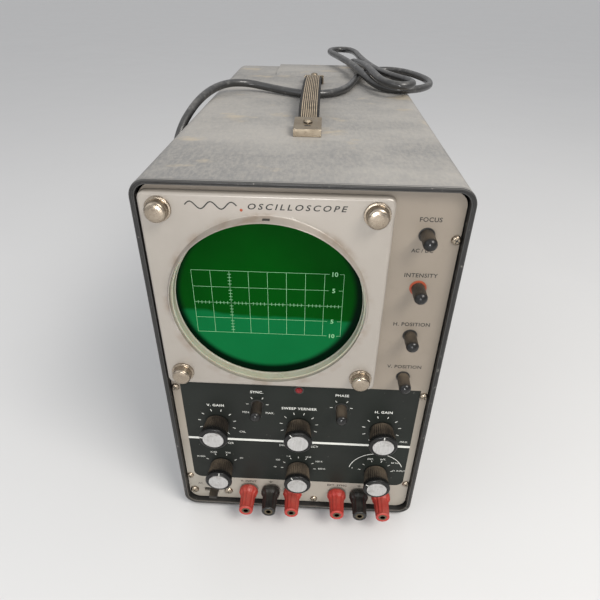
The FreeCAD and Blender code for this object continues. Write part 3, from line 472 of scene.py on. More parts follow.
def add_rings(shape, rings, closed_ends=False):
    """Faces between rings of points. All rings have the same number of points."""
    made = [[shape.verts.new(point) for point in ring] for ring in rings]
    for near, far in zip(made, made[1:]):
        for i in range(len(near)):
            j = (i + 1) % len(near)
            shape.faces.new((near[i], near[j], far[j], far[i]))
    if closed_ends:
        shape.faces.new(made[0])
        shape.faces.new(list(reversed(made[-1])))


def turn(shape, profile, centre, segments=64, reach=0.4, ripple=None, upright=False):
    """A solid of revolution about Y, or Z, through centre. The profile is a list of radius
    and place along the axis. ripple(radius, along, angle) may return another radius."""
    rings = []
    for radius, along in softened_corners(profile, reach):
        ring = []
        radius = max(radius, 0.02)
        for i in range(segments):
            angle = 2 * math.pi * i / segments
            wide = ripple(radius, along, angle) if ripple else radius
            side, up = wide * math.sin(angle), wide * math.cos(angle)
            offset = (side, up, along) if upright else (side, along, up)
            ring.append(Vector(centre) + Vector(offset))
        rings.append(ring)
    add_rings(shape, rings, closed_ends=True)


def turned(name, profile, centre, material, slot, **options):
    shape = bmesh.new()
    keys = ("segments", "reach", "ripple", "upright")
    turn(shape, profile, centre, **{k: options.pop(k) for k in keys if k in options})
    return piece(name, mesh_of(name, shape), material, slot, **options)


def add_block(shape, low, high, bevel=0.3, matrix=Matrix()):
    """A box with rounded edges, from low to high, then moved by the matrix."""
    made = bmesh.ops.create_cube(shape, size=1.0)["verts"]
    low, high = Vector(low), Vector(high)
    for vert in made:
        vert.co = matrix @ ((low + high) / 2 + Vector(a * b for a, b in zip(vert.co, high - low)))
    edges = {edge for vert in made for edge in vert.link_edges}
    bmesh.ops.bevel(shape, geom=list(edges), offset=bevel, segments=2, affect="EDGES", profile=0.5)


def rounded_rectangle(left, right, low, high, radius, y, per_corner=12):
    """Points at the given y, counterclockwise seen from the front."""
    points = []
    corners = ((right, low, -90), (right, high, 0), (left, high, 90), (left, low, 180))
    for x, z, start in corners:
        centre_x = x - radius if x == right else x + radius
        centre_z = z + radius if z == low else z - radius
        for step in range(per_corner + 1):
            angle = math.radians(start + 90 * step / per_corner)
            points.append((centre_x + radius * math.cos(angle), y, centre_z + radius * math.sin(angle)))
    return points


def cad_copy(node, name, width, material, slot, body=BODY, segments=2):
    """A CAD node's own shape with its sharp edges rounded."""
    shape = bmesh.new()
    shape.from_mesh(frame["nodes"][node].data)
    bmesh.ops.scale(shape, vec=(1 / MM, 1 / MM, 1 / MM), verts=shape.verts)
    bmesh.ops.remove_doubles(shape, verts=shape.verts, dist=0.001)
    bmesh.ops.dissolve_limit(shape, angle_limit=math.radians(1.0), verts=shape.verts, edges=shape.edges)
    limit = math.radians(35)
    sharp = [e for e in shape.edges if len(e.link_faces) == 2 and e.calc_face_angle() > limit]
    bevel = {"offset": width, "segments": segments, "affect": "EDGES", "profile": 0.5}
    bmesh.ops.bevel(shape, geom=sharp, clamp_overlap=True, **bevel)
    return piece(name, mesh_of(name, shape), material, slot, body=body, replaces=[node])


# ---------------------------------------------------------------- cabinet and panel

PANEL_LOW, PANEL_HIGH = cad("front_panel")
PANEL_Y = PANEL_LOW.y
SHELL_LOW, SHELL_HIGH = cad("cabinet_shell")
CASE_TOP = 303.0
CASE_RADIUS = 11.0


def make_rolled_lip():
    """The sheet's rolled front edge: a slim round bead over the cabinet's front lip."""
    half = SHELL_HIGH.x
    low, top, front = SHELL_LOW.z, CASE_TOP, SHELL_LOW.y
    skin, depth, wall = 0.18, 6.0, 3.0
    rings = []
    section = [(0.1, 1.9), (-skin, 1.6)]
    for step in range(9):
        angle = math.pi * step / 8
        section.append((1.5 - 1.68 * math.cos(angle), 1.4 - 1.75 * math.sin(angle)))
    section += [(wall + skin, 1.6), (wall + skin, depth)]
    for inset, back in section:
        radius = max(CASE_RADIUS - inset, 1.0)
        edges = (-half + inset, half - inset, low + inset, top - inset)
        rings.append(rounded_rectangle(*edges, radius, front + back, per_corner=16))
    shape = bmesh.new()
    add_rings(shape, rings)
    piece("rolled_lip", mesh_of("rolled_lip", shape, 60), LIP, "cabinet")


def flat_shape(shape, points, depth):
    """A thin plate with this outline and its rear at the outline's y."""
    rear = [shape.verts.new(point) for point in points]
    made = bmesh.ops.extrude_face_region(shape, geom=[shape.faces.new(rear)])["geom"]
    verts = [item for item in made if isinstance(item, bmesh.types.BMVert)]
    bmesh.ops.translate(shape, vec=(0, -depth, 0), verts=verts)


FIELD_LEFT, FIELD_RIGHT = -88.4, 89.5
FIELD_LOW, FIELD_HIGH = 36.9, 147.1
STRIPE_Z = 86.0
PRINT_DEPTH = 0.06


def make_control_field():
    """The charcoal field: square upper corners, rounded lower ones."""
    radius = 7.0
    outline = rounded_rectangle(FIELD_LEFT, FIELD_RIGHT, FIELD_LOW, FIELD_HIGH, radius, PANEL_Y)
    lower = [point for point in outline if point[2] < FIELD_LOW + radius + 0.01]
    right = [point for point in lower if point[0] > 0]
    left = [point for point in lower if point[0] < 0]
    corners = [(FIELD_RIGHT, PANEL_Y, FIELD_HIGH), (FIELD_LEFT, PANEL_Y, FIELD_HIGH)]
    shape = bmesh.new()
    flat_shape(shape, right + corners + left, PRINT_DEPTH)
    piece("control_field", mesh_of("control_field", shape), FIELD, "panel")


# ---------------------------------------------------------------- lettering and scales


class Print:
    """Ink that lies on a surface: letters, lines and arcs, gathered in one mesh."""

    def __init__(self, y, depth=0.05):
        self.y = y
        self.depth = depth
        self.shape = bmesh.new()

    def words(self, text, x, z, height, slant=0.0, spacing=1.0, weight=0.0, width=None):
        """Capital letters of the given height, standing on z and centred on x. weight
        thickens the strokes, and width stretches the line of letters to that length."""
        curve = bpy.data.curves.new("words", "FONT")
        curve.body = text
        curve.size = height / 0.70
        curve.space_character = spacing
        curve.shear = slant
        curve.align_x = "CENTER"
        curve.offset = weight
        curve.extrude = self.depth / 2
        curve.resolution_u = 3
        holder = bpy.data.objects.new("words", curve)
        bpy.context.scene.collection.objects.link(holder)
        mesh = bpy.data.meshes.new_from_object(holder)
        if width:
            xs = [vert.co.x for vert in mesh.vertices]
            mesh.transform(Matrix.Diagonal((width / (max(xs) - min(xs)), 1, 1, 1)))
        place = Matrix.Translation((x, self.y - self.depth / 2, z))
        mesh.transform(place @ Matrix.Rotation(math.pi / 2, 4, "X"))
        self.shape.from_mesh(mesh)
        bpy.data.objects.remove(holder)
        bpy.data.curves.remove(curve)
        bpy.data.meshes.remove(mesh)

    def line(self, x1, z1, x2, z2, width):
        along = Vector((x2 - x1, 0, z2 - z1))
        side = Vector((-along.z, 0, along.x)).normalized() * width / 2
        start, end = Vector((x1, self.y, z1)), Vector((x2, self.y, z2))
        flat_shape(self.shape, [start - side, end - side, end + side, start + side], self.depth)

    def arc(self, x, z, radius, start, end, width, steps=32):
        """start and end are degrees clockwise from straight up."""
        turns = [math.radians(start + (end - start) * i / steps) for i in range(steps + 1)]
        near, far = radius - width / 2, radius + width / 2
        inner = [(x + near * math.sin(a), self.y, z + near * math.cos(a)) for a in turns]
        outer = [(x + far * math.sin(a), self.y, z + far * math.cos(a)) for a in turns]
        flat_shape(self.shape, inner + outer[::-1], self.depth)

    def ticks(self, x, z, near, far, angles, width):
        for angle in angles:
            side, up = math.sin(math.radians(angle)), math.cos(math.radians(angle))
            self.line(x + near * side, z + near * up, x + far * side, z + far * up, width)

    def done(self, name, material, slot):
        return piece(name, mesh_of(name, self.shape), material, slot)


def control(name):
    """The x and z of a control's axis, in millimetres."""
    place = JOINTS[name + "_turn"]["pos_m"]
    return place[0] / MM, place[2] / MM


POSTS = {
    "v_input": RED,
    "v_ground": BLACK_POST,
    "h_input": RED,
    "ext_sync": RED,
    "sync_ground": BLACK_POST,
    "test_signal": RED,
}


def post_place(name):
    place = JOINTS[name + "_unscrew"]["pos_m"]
    return place[0] / MM, place[2] / MM


def make_panel_print():
    ink = Print(PANEL_Y)
    height, stroke = 2.8, 0.07
    for name, words, side, rise in (
        ("focus", "FOCUS", 1.0, 8.6),
        ("intensity", "INTENSITY", 0.5, 7.8),
        ("h_position", "H. POSITION", 0.0, 7.8),
        ("v_position", "V. POSITION", 0.0, 7.8),
    ):
        x, z = control(name)
        ink.words(words, x + side, z + rise, height, spacing=1.08, weight=stroke)
    x, z = control("focus")
    ink.words("AC / DC", x - 1.0, z - 11.5, 2.4, spacing=1.05, weight=stroke)
    for name, words in (("v_input", "V. INPUT"), ("ext_sync", "EXT. SYNC")):
        x, z = post_place(name)
        ink.words(words, x, z + 8.4, 2.3, spacing=1.08, weight=stroke)
    for name in ("v_ground", "sync_ground"):
        x, z = post_place(name)
        low = z + 9.0
        ink.line(x, low + 1.2, x, low + 2.6, 0.45)
        for row, half in enumerate((1.9, 1.25, 0.6)):
            ink.line(x - half, low + 1.2 - row * 0.8, x + half, low + 1.2 - row * 0.8, 0.4)
    ink.words("AC", -84.5, 26.0, 2.2)
    ink.words("DC", -66.5, 26.0, 2.2)
    ink.done("panel_lettering", DARK_INK, "panel")


def make_field_print():
    ink = Print(PANEL_Y - PRINT_DEPTH)
    stroke = 0.06
    ink.line(FIELD_LEFT, STRIPE_Z, FIELD_RIGHT, STRIPE_Z, 2.3)
    gain_angles = [side * angle for angle in (16, 48, 80, 112, 145) for side in (-1, 1)]
    gains = {"v_gain": "V. GAIN", "sweep_vernier": "SWEEP VERNIER", "h_gain": "H. GAIN"}
    for name, words in gains.items():
        x, z = control(name)
        ink.words(words, x, z + 18.0, 2.4, spacing=1.12, weight=stroke)
        ink.ticks(x, z, 13.0, 15.2, gain_angles, 0.55)
    x, z = control("v_gain")
    ink.words("CAL", x + 19.5, z - 10.0, 1.9)
    x, z = control("h_gain")
    ink.words("MAX.", x + 19.0, z - 13.6, 1.9)
    for name, words in (("sync", "SYNC."), ("phase", "PHASE")):
        x, z = control(name)
        ink.words(words, x, z + 11.6, 2.3, spacing=1.12, weight=stroke)
        ink.ticks(x, z, 6.6, 8.6, (-90, -33, 33, 90), 0.5)
    x, z = control("sync")
    ink.words("MIN.", x - 9.0, z - 9.8, 2.0)
    ink.words("MAX.", x + 9.4, z - 9.8, 2.0)
    for name, words in (("v_attenuator", "ATTENUATOR"), ("sweep_frequency", "SWEEP FREQUENCY")):
        x, z = control(name)
        ink.words(words, x, z + 26.6, 2.3, spacing=1.1)
    frequencies = {-90: "10", -60: "100", -28: "1 K", 0: "", 28: "10 K", 60: "100 K", 90: "600 K"}
    scales = {
        "v_attenuator": {-60: "X1000", -20: "X100", 20: "X10", 60: "X1"},
        "sweep_frequency": frequencies,
        "selector": {-80: "+", -50: "", -17: "EXT.", 17: "INT.", 50: "60 Hz", 84: "H. INPUT"},
    }
    for name, marks in scales.items():
        x, z = control(name)
        ink.ticks(x, z, 12.6, 14.6, marks, 0.5)
        for angle, words in marks.items():
            reach = 17.4 + (2.2 if abs(angle) > 40 else 0)
            side, up = math.sin(math.radians(angle)), math.cos(math.radians(angle))
            if words:
                ink.words(words, x + reach * side, z + (reach - 1.4) * up - 0.3, 1.8)
    x, z = control("selector")
    ink.arc(x, z, 22.4, -78, 70, 0.5)
    ink.done("field_lettering", WHITE_INK, "panel")


def make_graticule():
    """Eight by four squares with a scale along both centre lines, engraved in the filter."""
    front = cad("graticule_filter")[0].y
    centre = middle("graticule_filter")
    ink = Print(front + 0.01, 0.04)
    stroke, line_width = 0.08, 0.23
    square = 12.3
    left, high = centre.x - 0.7 - 4 * square, centre.z + 22.4
    right, low = left + 8 * square, high - 4 * square
    gap_start, gap_end = right - square * 0.72, right - square * 0.28
    for column in range(9):
        ink.line(left + column * square, low, left + column * square, high, line_width)
    numbers = {0: "10", 1: "5", 3: "5", 4: "10"}
    for row in range(5):
        z = low + row * square
        if row in numbers:
            ink.line(left, z, gap_start - 0.6, z, line_width)
            ink.line(gap_end + 0.6, z, right, z, line_width)
            ink.words(numbers[row], (gap_start + gap_end) / 2, z - 1.6, 3.2, weight=stroke)
        else:
            ink.line(left, z, right, z, line_width)
    ruled_x = left + 2 * square
    for step in range(1, 40):
        x = left + step * square / 5
        ink.line(x, low + 2 * square - 1.15, x, low + 2 * square + 1.15, 0.32)
    for step in range(1, 20):
        z = low + step * square / 5
        ink.line(ruled_x - 1.15, z, ruled_x + 1.15, z, 0.32)
    ink.done("graticule_lines", GRATICULE_INK, "green_filter")


def make_bezel_print():
    """A generic title with a plain sine wave beside it."""
    high = cad("bezel")[1]
    ink = Print(BEZEL_FACE + 0.02)
    base = high.z - 8.8
    ink.words("OSCILLOSCOPE", -2.5, base, 3.5, slant=0.25, spacing=1.42, weight=0.09, width=57.0)
    start, length, waves = -66.5, 30.0, 2.5
    steps = 40
    points = []
    for i in range(steps + 1):
        rise = 2.2 * math.sin(2 * math.pi * waves * i / steps)
        points.append((start + length * i / steps, base + 1.7 + rise))
    for (x1, z1), (x2, z2) in zip(points, points[1:]):
        ink.line(x1, z1, x2, z2, 0.75)
    ink.done("title_lettering", DARK_INK, "bezel")


# ---------------------------------------------------------------- screen


VISOR_REACH = 7.5
BEZEL_FACE = cad("bezel")[0].y + VISOR_REACH


def make_bezel():
    """A moulded square frame with rounded edges, and a visor over the round opening."""
    low, high = cad("bezel")
    filter_low, filter_high = cad("graticule_filter")
    centre = (filter_low + filter_high) / 2
    opening = 63.3
    visor_fades_below = 16.0
    front, rear = low.y + VISOR_REACH, high.y
    count = 360
    angles = [2 * math.pi * i / count for i in range(count)]

    def run(ray, high_side, low_side):
        """How far a ray goes before it meets the side that it points at."""
        return (high_side if ray > 0 else low_side) / ray if abs(ray) > 1e-9 else 1e9

    def outer(inset, back, corner=4.5):
        """Where rays from the screen's centre meet the rounded outline."""
        left, right = low.x + inset, high.x - inset
        bottom, top = low.z + inset, high.z - inset
        corner = max(corner - inset, 0.3)
        ring = []
        for angle in angles:
            ray = Vector((math.cos(angle), math.sin(angle)))
            sideways = run(ray.x, right - centre.x, left - centre.x)
            reach = min(sideways, run(ray.y, top - centre.z, bottom - centre.z))
            x, z = centre.x + ray.x * reach, centre.z + ray.y * reach
            near_x = min(max(x, left + corner), right - corner)
            near_z = min(max(z, bottom + corner), top - corner)
            away = Vector((x - near_x, z - near_z))
            if away.x and away.y:
                away = away.normalized() * corner
                x, z = near_x + away.x, near_z + away.y
            ring.append((x, front + back, z))
        return ring

    def on_circle(radius, angle, y):
        return (centre.x + radius * math.cos(angle), y, centre.z + radius * math.sin(angle))

    def inner(radius, back):
        return [on_circle(radius, angle, front + back) for angle in angles]

    def visor(radius, share):
        """A ring on the visor: share is 0 at the frame's face and 1 at the visor's edge."""
        ring = []
        for angle in angles:
            up = (math.sin(angle) * opening + visor_fades_below) / (opening + visor_fades_below)
            ring.append(on_circle(radius, angle, front - VISOR_REACH * max(0.0, up) * share))
        return ring

    edge = 1.9
    rings = [outer(0, rear - front)]
    for step in range(7):
        angle = math.pi / 2 * step / 6
        rings.append(outer(edge * (1 - math.cos(angle)), edge * (1 - math.sin(angle))))
    visor_edge = [(2.2, 0.0), (1.8, 0.04), (1.6, 0.12), (1.2, 0.5), (0.8, 0.9)]
    visor_edge += [(0.6, 0.97), (0.4, 1.0), (0.1, 0.97), (0, 0.90)]
    rings += [visor(opening + wider, share) for wider, share in visor_edge]
    behind = ((0, 1.0), (0, 2.6), (2.6, 2.6), (2.6, rear - front))
    rings += [inner(opening + wider, back) for wider, back in behind]
    rings.append(rings[0])
    shape = bmesh.new()
    add_rings(shape, rings)
    bmesh.ops.remove_doubles(shape, verts=shape.verts, dist=0.0005)
    piece("bezel_moulding", mesh_of("bezel_moulding", shape, 40), BEZEL, "bezel", replaces=["bezel"])


def make_ring_details():
    """A dark block that paints the shade in a slot on top of the visor, a spot by the title and a bead
    behind the light ring.
    """
    rear = cad("light_ring")[1].y
    centre = middle("light_ring")
    radius, bead = 62.2, 0.55
    shape = bmesh.new()
    slot = Matrix.Translation((centre.x + 1.0, BEZEL_FACE - VISOR_REACH * 0.5, centre.z))
    # Dark block in the slot: painted shade.
    add_block(shape, (-2.2, -1.3, 64.0), (2.2, 1.3, 64.7), 0.3, slot)
    piece("visor_slot_shade", mesh_of("visor_slot_shade", shape), DARK_INK, "black_fibre")
    spot = [(0, 0.2), (0.9, 0.2), (0.9, -0.08), (0, -0.12)]
    place = (-34.0, BEZEL_FACE, cad("bezel")[1].z - 9.5)
    turned("bezel_spot", spot, place, ORANGE, "red_plastic", segments=24)
    rings = []
    for step in range(13):
        angle = math.pi * 2 * step / 12
        wide, y = radius + bead * math.cos(angle), rear - 0.9 + bead * math.sin(angle)
        turns = [2 * math.pi * i / 180 for i in range(180)]
        rings.append([(centre.x + wide * math.sin(t), y, centre.z + wide * math.cos(t)) for t in turns])
    shape = bmesh.new()
    add_rings(shape, rings)
    bmesh.ops.remove_doubles(shape, verts=shape.verts, dist=0.0005)
    piece("ring_bead", mesh_of("ring_bead", shape), CREAM, "cream_plastic")


def nut_places():
    """The four nuts' axes, from the corners of their shared CAD node."""
    low, high = cad("bezel_nuts")
    flange = 7.8
    xs = (low.x + flange, high.x - flange)
    zs = (low.z + flange, high.z - flange)
    return [(x, z) for x in xs for z in zs], low.y, high.y


def make_bezel_nuts():
    places, front, rear = nut_places()
    face = BEZEL_FACE - 0.02
    profile = [(0, front), (3.4, front + 0.14), (5.2, front + 0.5)]
    profile += [(6.1, front + 1.1), (6.55, front + 2.2)]
    profile += [(6.6, face - 1.5), (7.8, face - 1.4), (7.8, face), (1.7, face), (1.7, rear), (0, rear)]
    shape = bmesh.new()
    for x, z in places:
        turn(shape, profile, (x, 0, z), reach=0.3)
    piece("dome_nuts", mesh_of("dome_nuts", shape), NICKEL, "nickel", replaces=["bezel_nuts"])


# ---------------------------------------------------------------- controls

POINTERS = {
    "v_gain": -80,
    "sweep_vernier": -35,
    "h_gain": 0,
    "v_attenuator": 7,
    "sweep_frequency": -28,
    "selector": -60,
}
SLIM = ("sync", "phase", "focus", "intensity", "h_position", "v_position")


def moulding(node, profile, place, material, slot, body, **options):
    """A turned piece that stands for one CAD node."""
    turned(node + "_moulding", profile, place, material, slot, body=body, replaces=[node], **options)


def make_big_knob(name, pointer):
    """A fluted knob with a wider crown and a pointer at so many degrees clockwise from up."""
    node = name + "_knob"
    low, high = cad(node)
    x, z = control(name)
    front, rear = low.y, high.y
    flutes = 36

    def fluted(radius, along, angle):
        depth = along - front
        if radius < 8.6 or depth < 2.4 or depth > 15.6:
            return radius
        fade = min(1.0, (depth - 2.4) / 0.9, (15.6 - depth) / 1.2)
        return radius - 0.50 * fade * (0.5 - 0.5 * math.cos(flutes * angle)) ** 0.7

    profile = [(0, front + 0.62), (7.7, front + 0.62), (8.1, front + 0.55), (8.35, front + 0.02)]
    profile += [(10.0, front), (10.75, front + 0.5), (10.9, front + 1.5), (10.6, front + 2.3)]
    profile += [(10.45 - 0.14 * step, front + 3.2 + 1.2 * step) for step in range(10)]
    profile += [(9.1, rear - 0.8), (8.5, rear), (3.1, rear), (3.1, front + 4.4), (0, front + 4.4)]
    body = name + "_control"
    shape_of = {"segments": 216, "reach": 0.35, "ripple": fluted}
    moulding(node, profile, (x, 0, z), BLACK, "black_plastic", body, **shape_of)
    shape = bmesh.new()
    mark = Matrix.Translation((x, 0, z)) @ Matrix.Rotation(math.radians(pointer), 4, "Y")
    add_block(shape, (-0.4, front - 0.05, 7.9), (0.4, front + 0.7, 10.4), 0.12, mark)
    piece(node + "_pointer", mesh_of(node + "_pointer", shape), WHITE_INK, "black_plastic", body=body)


def make_slim_knob(name):
    node = name + "_knob"
    low, high = cad(node)
    x, z = control(name)
    front, rear = low.y, high.y
    shoulder = PANEL_Y - 0.5
    grooves = 30

    def grooved(radius, along, angle):
        depth = along - front
        if radius < 4.0 or depth < 4.2 or along > shoulder - 0.6:
            return radius
        return radius - 0.14 * (0.5 - 0.5 * math.cos(grooves * angle))

    profile = [(0, front)]
    for step in range(1, 8):
        angle = math.pi / 2 * step / 7
        profile.append((4.2 * math.sin(angle), front + 3.4 * (1 - math.cos(angle))))
    profile += [(4.25, front + 3.9), (4.0, front + 4.2), (4.15, front + 4.6)]
    profile += [(4.2, front + 8.0), (4.22, shoulder - 0.5), (4.0, shoulder)]
    profile += [(3.0, shoulder), (3.0, rear), (0, rear)]
    shape_of = {"segments": 120, "reach": 0.12, "ripple": grooved}
    moulding(node, profile, (x, 0, z), SLIM_BLACK, "black_plastic", name + "_control", **shape_of)


def flat_ring_profile(width, thick):
    back, front = PANEL_Y + 0.2, PANEL_Y - thick
    return [(3.2, back), (width, back), (width, front), (3.2, front)]


def make_washers():
    """Dark rings behind the slim knobs that paint the shade around them, and an orange washer at
    intensity.
    """
    shape = bmesh.new()
    for name in ("focus", "h_position", "v_position", "sync", "phase"):
        x, z = control(name)
        # Black rings a little wider than the knobs: painted shade around each slim knob.
        turn(shape, flat_ring_profile(4.9, 0.35), (x, 0, z), segments=48, reach=0.1)
    piece("knob_shade_rings", mesh_of("knob_shade_rings", shape), FIBRE, "black_fibre")
    x, z = control("intensity")
    shape_of = {"segments": 48, "reach": 0.12}
    profile = flat_ring_profile(5.4, 0.4)
    turned("intensity_washer", profile, (x, 0, z), ORANGE, "red_plastic", **shape_of)


def make_pilot():
    """A faceted lens."""
    low, high = cad("pilot_jewel")
    centre = middle("pilot_jewel")

    def facets(radius, along, angle):
        return radius * (1 - 0.05 * abs(math.sin(4 * angle))) if along < PANEL_Y else radius

    front = low.y
    place = (centre.x, 0, centre.z)
    profile = [(0, front), (1.4, front + 0.15), (2.4, front + 0.9), (2.88, front + 1.7)]
    profile += [(2.88, high.y), (0, high.y)]
    shape_of = {"segments": 48, "reach": 0.1, "ripple": facets}
    turned("pilot_lens", profile, place, JEWEL, "jewel", replaces=["pilot_jewel"], **shape_of)
    rim = [(2.95, PANEL_Y + 0.3), (3.7, PANEL_Y + 0.1), (3.7, PANEL_Y - 0.5), (2.95, PANEL_Y - 0.5)]
    turned("pilot_rim", rim, place, FIBRE, "black_fibre", segments=48, reach=0.15)


def make_slide_switch():
    low, high = cad("slide_switch_button")
    centre = middle("slide_switch_button")
    shape = bmesh.new()
    add_block(shape, low, high, 0.8)
    for step in range(5):
        x = centre.x - 2.4 + 1.2 * step
        rib_low = (x - 0.22, low.y - 0.02, low.z + 0.35)
        add_block(shape, rib_low, (x + 0.22, low.y + 0.5, high.z - 0.35), 0.1)
    mesh = mesh_of("switch_button", shape)
    stands_for = {"body": "switch_slider", "replaces": ["slide_switch_button"]}
    piece("switch_button", mesh, BLACK, "black_plastic", **stands_for)


def make_post_cap(name, material):
    node = name + "_post_cap"
    low, high = cad(node)
    x, z = post_place(name)
    front, rear = low.y, high.y
    ribs = 12

    def ribbed(radius, along, angle):
        depth = along - front
        last = rear - front - 1.6
        if radius < 5.0 or depth < 1.4 or depth > last:
            return radius
        fade = min(1.0, (depth - 1.4) / 0.8, (last - depth) / 1.5)
        return radius - 0.60 * fade * (0.5 - 0.5 * math.cos(ribs * angle)) ** 0.6

    profile = [(3.46, front + 0.5), (4.2, front), (5.1, front), (5.75, front + 0.6)]
    profile += [(5.8 + 0.035 * step, front + 1.4 + 1.0 * step) for step in range(12)]
    profile += [(6.6, rear - 6.4), (7.5, rear - 4.9), (8.0, rear - 3.8), (8.1, rear - 2.4)]
    profile += [(7.9, rear - 0.9), (7.2, rear), (3.46, rear), (3.46, front + 0.5)]
    slot = "red_plastic" if material is RED else "black_plastic"
    shape_of = {"segments": 112, "reach": 0.4, "ripple": ribbed}
    moulding(node, profile, (x, 0, z), material, slot, name + "_cap", **shape_of)


# ---------------------------------------------------------------- handle


def make_strap():
    """A ribbed strap: thin ends under the brackets, a ramp up and a low arch between."""
    low, high = cad("handle_strap")
    ends = (low.y, high.y)
    tongue, ramp, rise = 15.0, 42.0, 4.0
    flat_z, arch_z = CASE_TOP + 1.7, CASE_TOP + 10.7
    half = (high.x - low.x) / 2
    rib_pitch = STRAP_RIBBED / STRAP_RIBS

    def height(y):
        inset = min(y - ends[0], ends[1] - y)
        if inset < tongue:
            return flat_z
        if inset < ramp:
            t = (inset - tongue) / (ramp - tongue)
            return flat_z + (arch_z - flat_z) * (t * t * (3 - 2 * t) * 0.35 + t * 0.65)
        span = (ends[1] - ends[0]) / 2 - ramp
        t = (inset - ramp) / span
        return arch_z + rise * (1 - (1 - t) ** 2)

    def thickness(y):
        inset = min(y - ends[0], ends[1] - y)
        t = min(max((inset - tongue) / 10.0, 0.0), 1.0)
        return 0.88 + t * 0.95

    rings = []
    count = 110
    for step in range(count + 1):
        y = ends[0] + (ends[1] - ends[0]) * step / count
        slope = (height(y + 0.5) - height(y - 0.5)) if 0 < step < count else 0.0
        normal = Vector((0, -slope, 1)).normalized()
        centre = Vector((0, y, height(y)))
        thick = thickness(y)
        raised = 0.75 if thick > 1.0 else 0.0
        section = [(-half + 0.3, -thick), (half - 0.3, -thick), (half, -thick * 0.4)]
        section += [(half, thick * 0.3), (half - 0.5, thick - raised * 0.4)]
        samples = STRAP_RIBS * 6
        for i in range(samples + 1):
            x = STRAP_RIBBED * (0.5 - i / samples)
            wave = 0.5 - 0.5 * math.cos(2 * math.pi * x / rib_pitch)
            section.append((x, thick - raised + raised * wave ** 0.6))
        section += [(-half + 0.5, thick - raised * 0.4), (-half, thick * 0.3), (-half, -thick * 0.4)]
        rings.append([centre + Vector((x, 0, 0)) + normal * offset for x, offset in section])
    shape = bmesh.new()
    add_rings(shape, rings, closed_ends=True)
    mesh = mesh_of("ribbed_strap", shape, 50)
    piece("ribbed_strap", mesh, STRAP, "strap", body="handle", replaces=["handle_strap"])


def make_bracket_details():
    """Two pressed slots in each bracket's roof."""
    low, high = cad("handle_brackets")
    slope = math.atan2(3.0, 23.5)
    shape = bmesh.new()
    for end, inward in ((low.y, 1), (high.y, -1)):
        for along, half_x in ((6.5, 2.2), (19.5, 2.6)):
            roof = CASE_TOP + 5.5 + 3.0 * along / 23.5
            tilt = Matrix.Rotation(inward * slope, 4, "X")
            place = Matrix.Translation((0, end + inward * along, roof)) @ tilt
            add_block(shape, (-half_x, -0.7, -0.3), (half_x, 0.7, 0.22), 0.2, place)
    piece("bracket_slots", mesh_of("bracket_slots", shape), FIBRE, "black_fibre")


# ---------------------------------------------------------------- screws


def screw_places():
    """Front screw axes as x, z and head radius, at the CAD screws' places."""
    panel = [(92.2, 269.3), (92.2, 142.1), (-92.0, 141.3), (-92.2, 37.9), (92.2, 39.9), (14.8, 13.5)]
    switch = [(-90.3, 19.0), (-60.3, 19.0)]
    return [(x, z, 3.0) for x, z in panel] + [(x, z, 3.6) for x, z in switch]


def make_screw_heads():
    """Domed heads that cover the plain CAD ones, each with a cross recess filled by black bars that paint
    its shade.
    """
    heads, slots = bmesh.new(), bmesh.new()
    for number, (x, z, radius) in enumerate(screw_places()):
        tall = radius * 0.62 + 0.06
        profile = [(0, PANEL_Y - tall)]
        for step in range(1, 7):
            angle = math.pi / 2 * step / 6
            wide = (radius + 0.06) * math.sin(angle) ** 0.8
            profile.append((wide, PANEL_Y - tall * math.cos(angle) ** 0.7))
        profile.append((0, PANEL_Y + 0.1))
        turn(heads, profile, (x, 0, z), segments=40, reach=0.05)
        half = radius * 0.55
        low, high = (-half, PANEL_Y - tall - 0.03, -0.3), (half, PANEL_Y - tall + 0.6, 0.3)
        # Black bars in each cross recess: painted shade.
        for quarter in (0, 90):
            tilt = Matrix.Rotation(math.radians(25 + 47 * number + quarter), 4, "Y")
            add_block(slots, low, high, 0.05, Matrix.Translation((x, 0, z)) @ tilt)
    piece("front_screw_heads", mesh_of("front_screw_heads", heads), NICKEL, "nickel")
    piece("screw_recess_shade", mesh_of("screw_recess_shade", slots), FIBRE, "black_fibre")


# ---------------------------------------------------------------- rear


def make_louvres():
    """A pressed hood over each vent slot of the rear cover."""
    rear = cad("rear_cover")[1].y
    reach, height, skin = 3.2, 6.5, 0.7
    steps = 8
    quarter = [math.pi / 2 * i / steps for i in range(steps + 1)]
    shape = bmesh.new()
    for column in (-55.0, 0.0, 55.0):
        for row in range(9):
            z = 110.0 + row * 19.0
            rings = []
            for end in (-1, -0.94, -0.8, 0.8, 0.94, 1):
                x = column + 18.5 * end
                scale = {1: 0.05, 0.94: 0.6, 0.8: 1.0}[abs(end)]
                wide, thin = reach * scale, max(reach * scale - skin, 0.0)
                base = z - 2.0
                ring = [(x, rear + wide * math.cos(a), base + height * math.sin(a)) for a in quarter]
                for angle in reversed(quarter):
                    up = (height - skin) * math.sin(angle)
                    ring.append((x, rear + thin * math.cos(angle), base + up))
                rings.append(ring)
            add_rings(shape, rings, closed_ends=True)
    piece("louvre_hoods", mesh_of("louvre_hoods", shape), CABINET, "cabinet")


# ---------------------------------------------------------------- mains lead

CORD_DIAMETER = 7.0
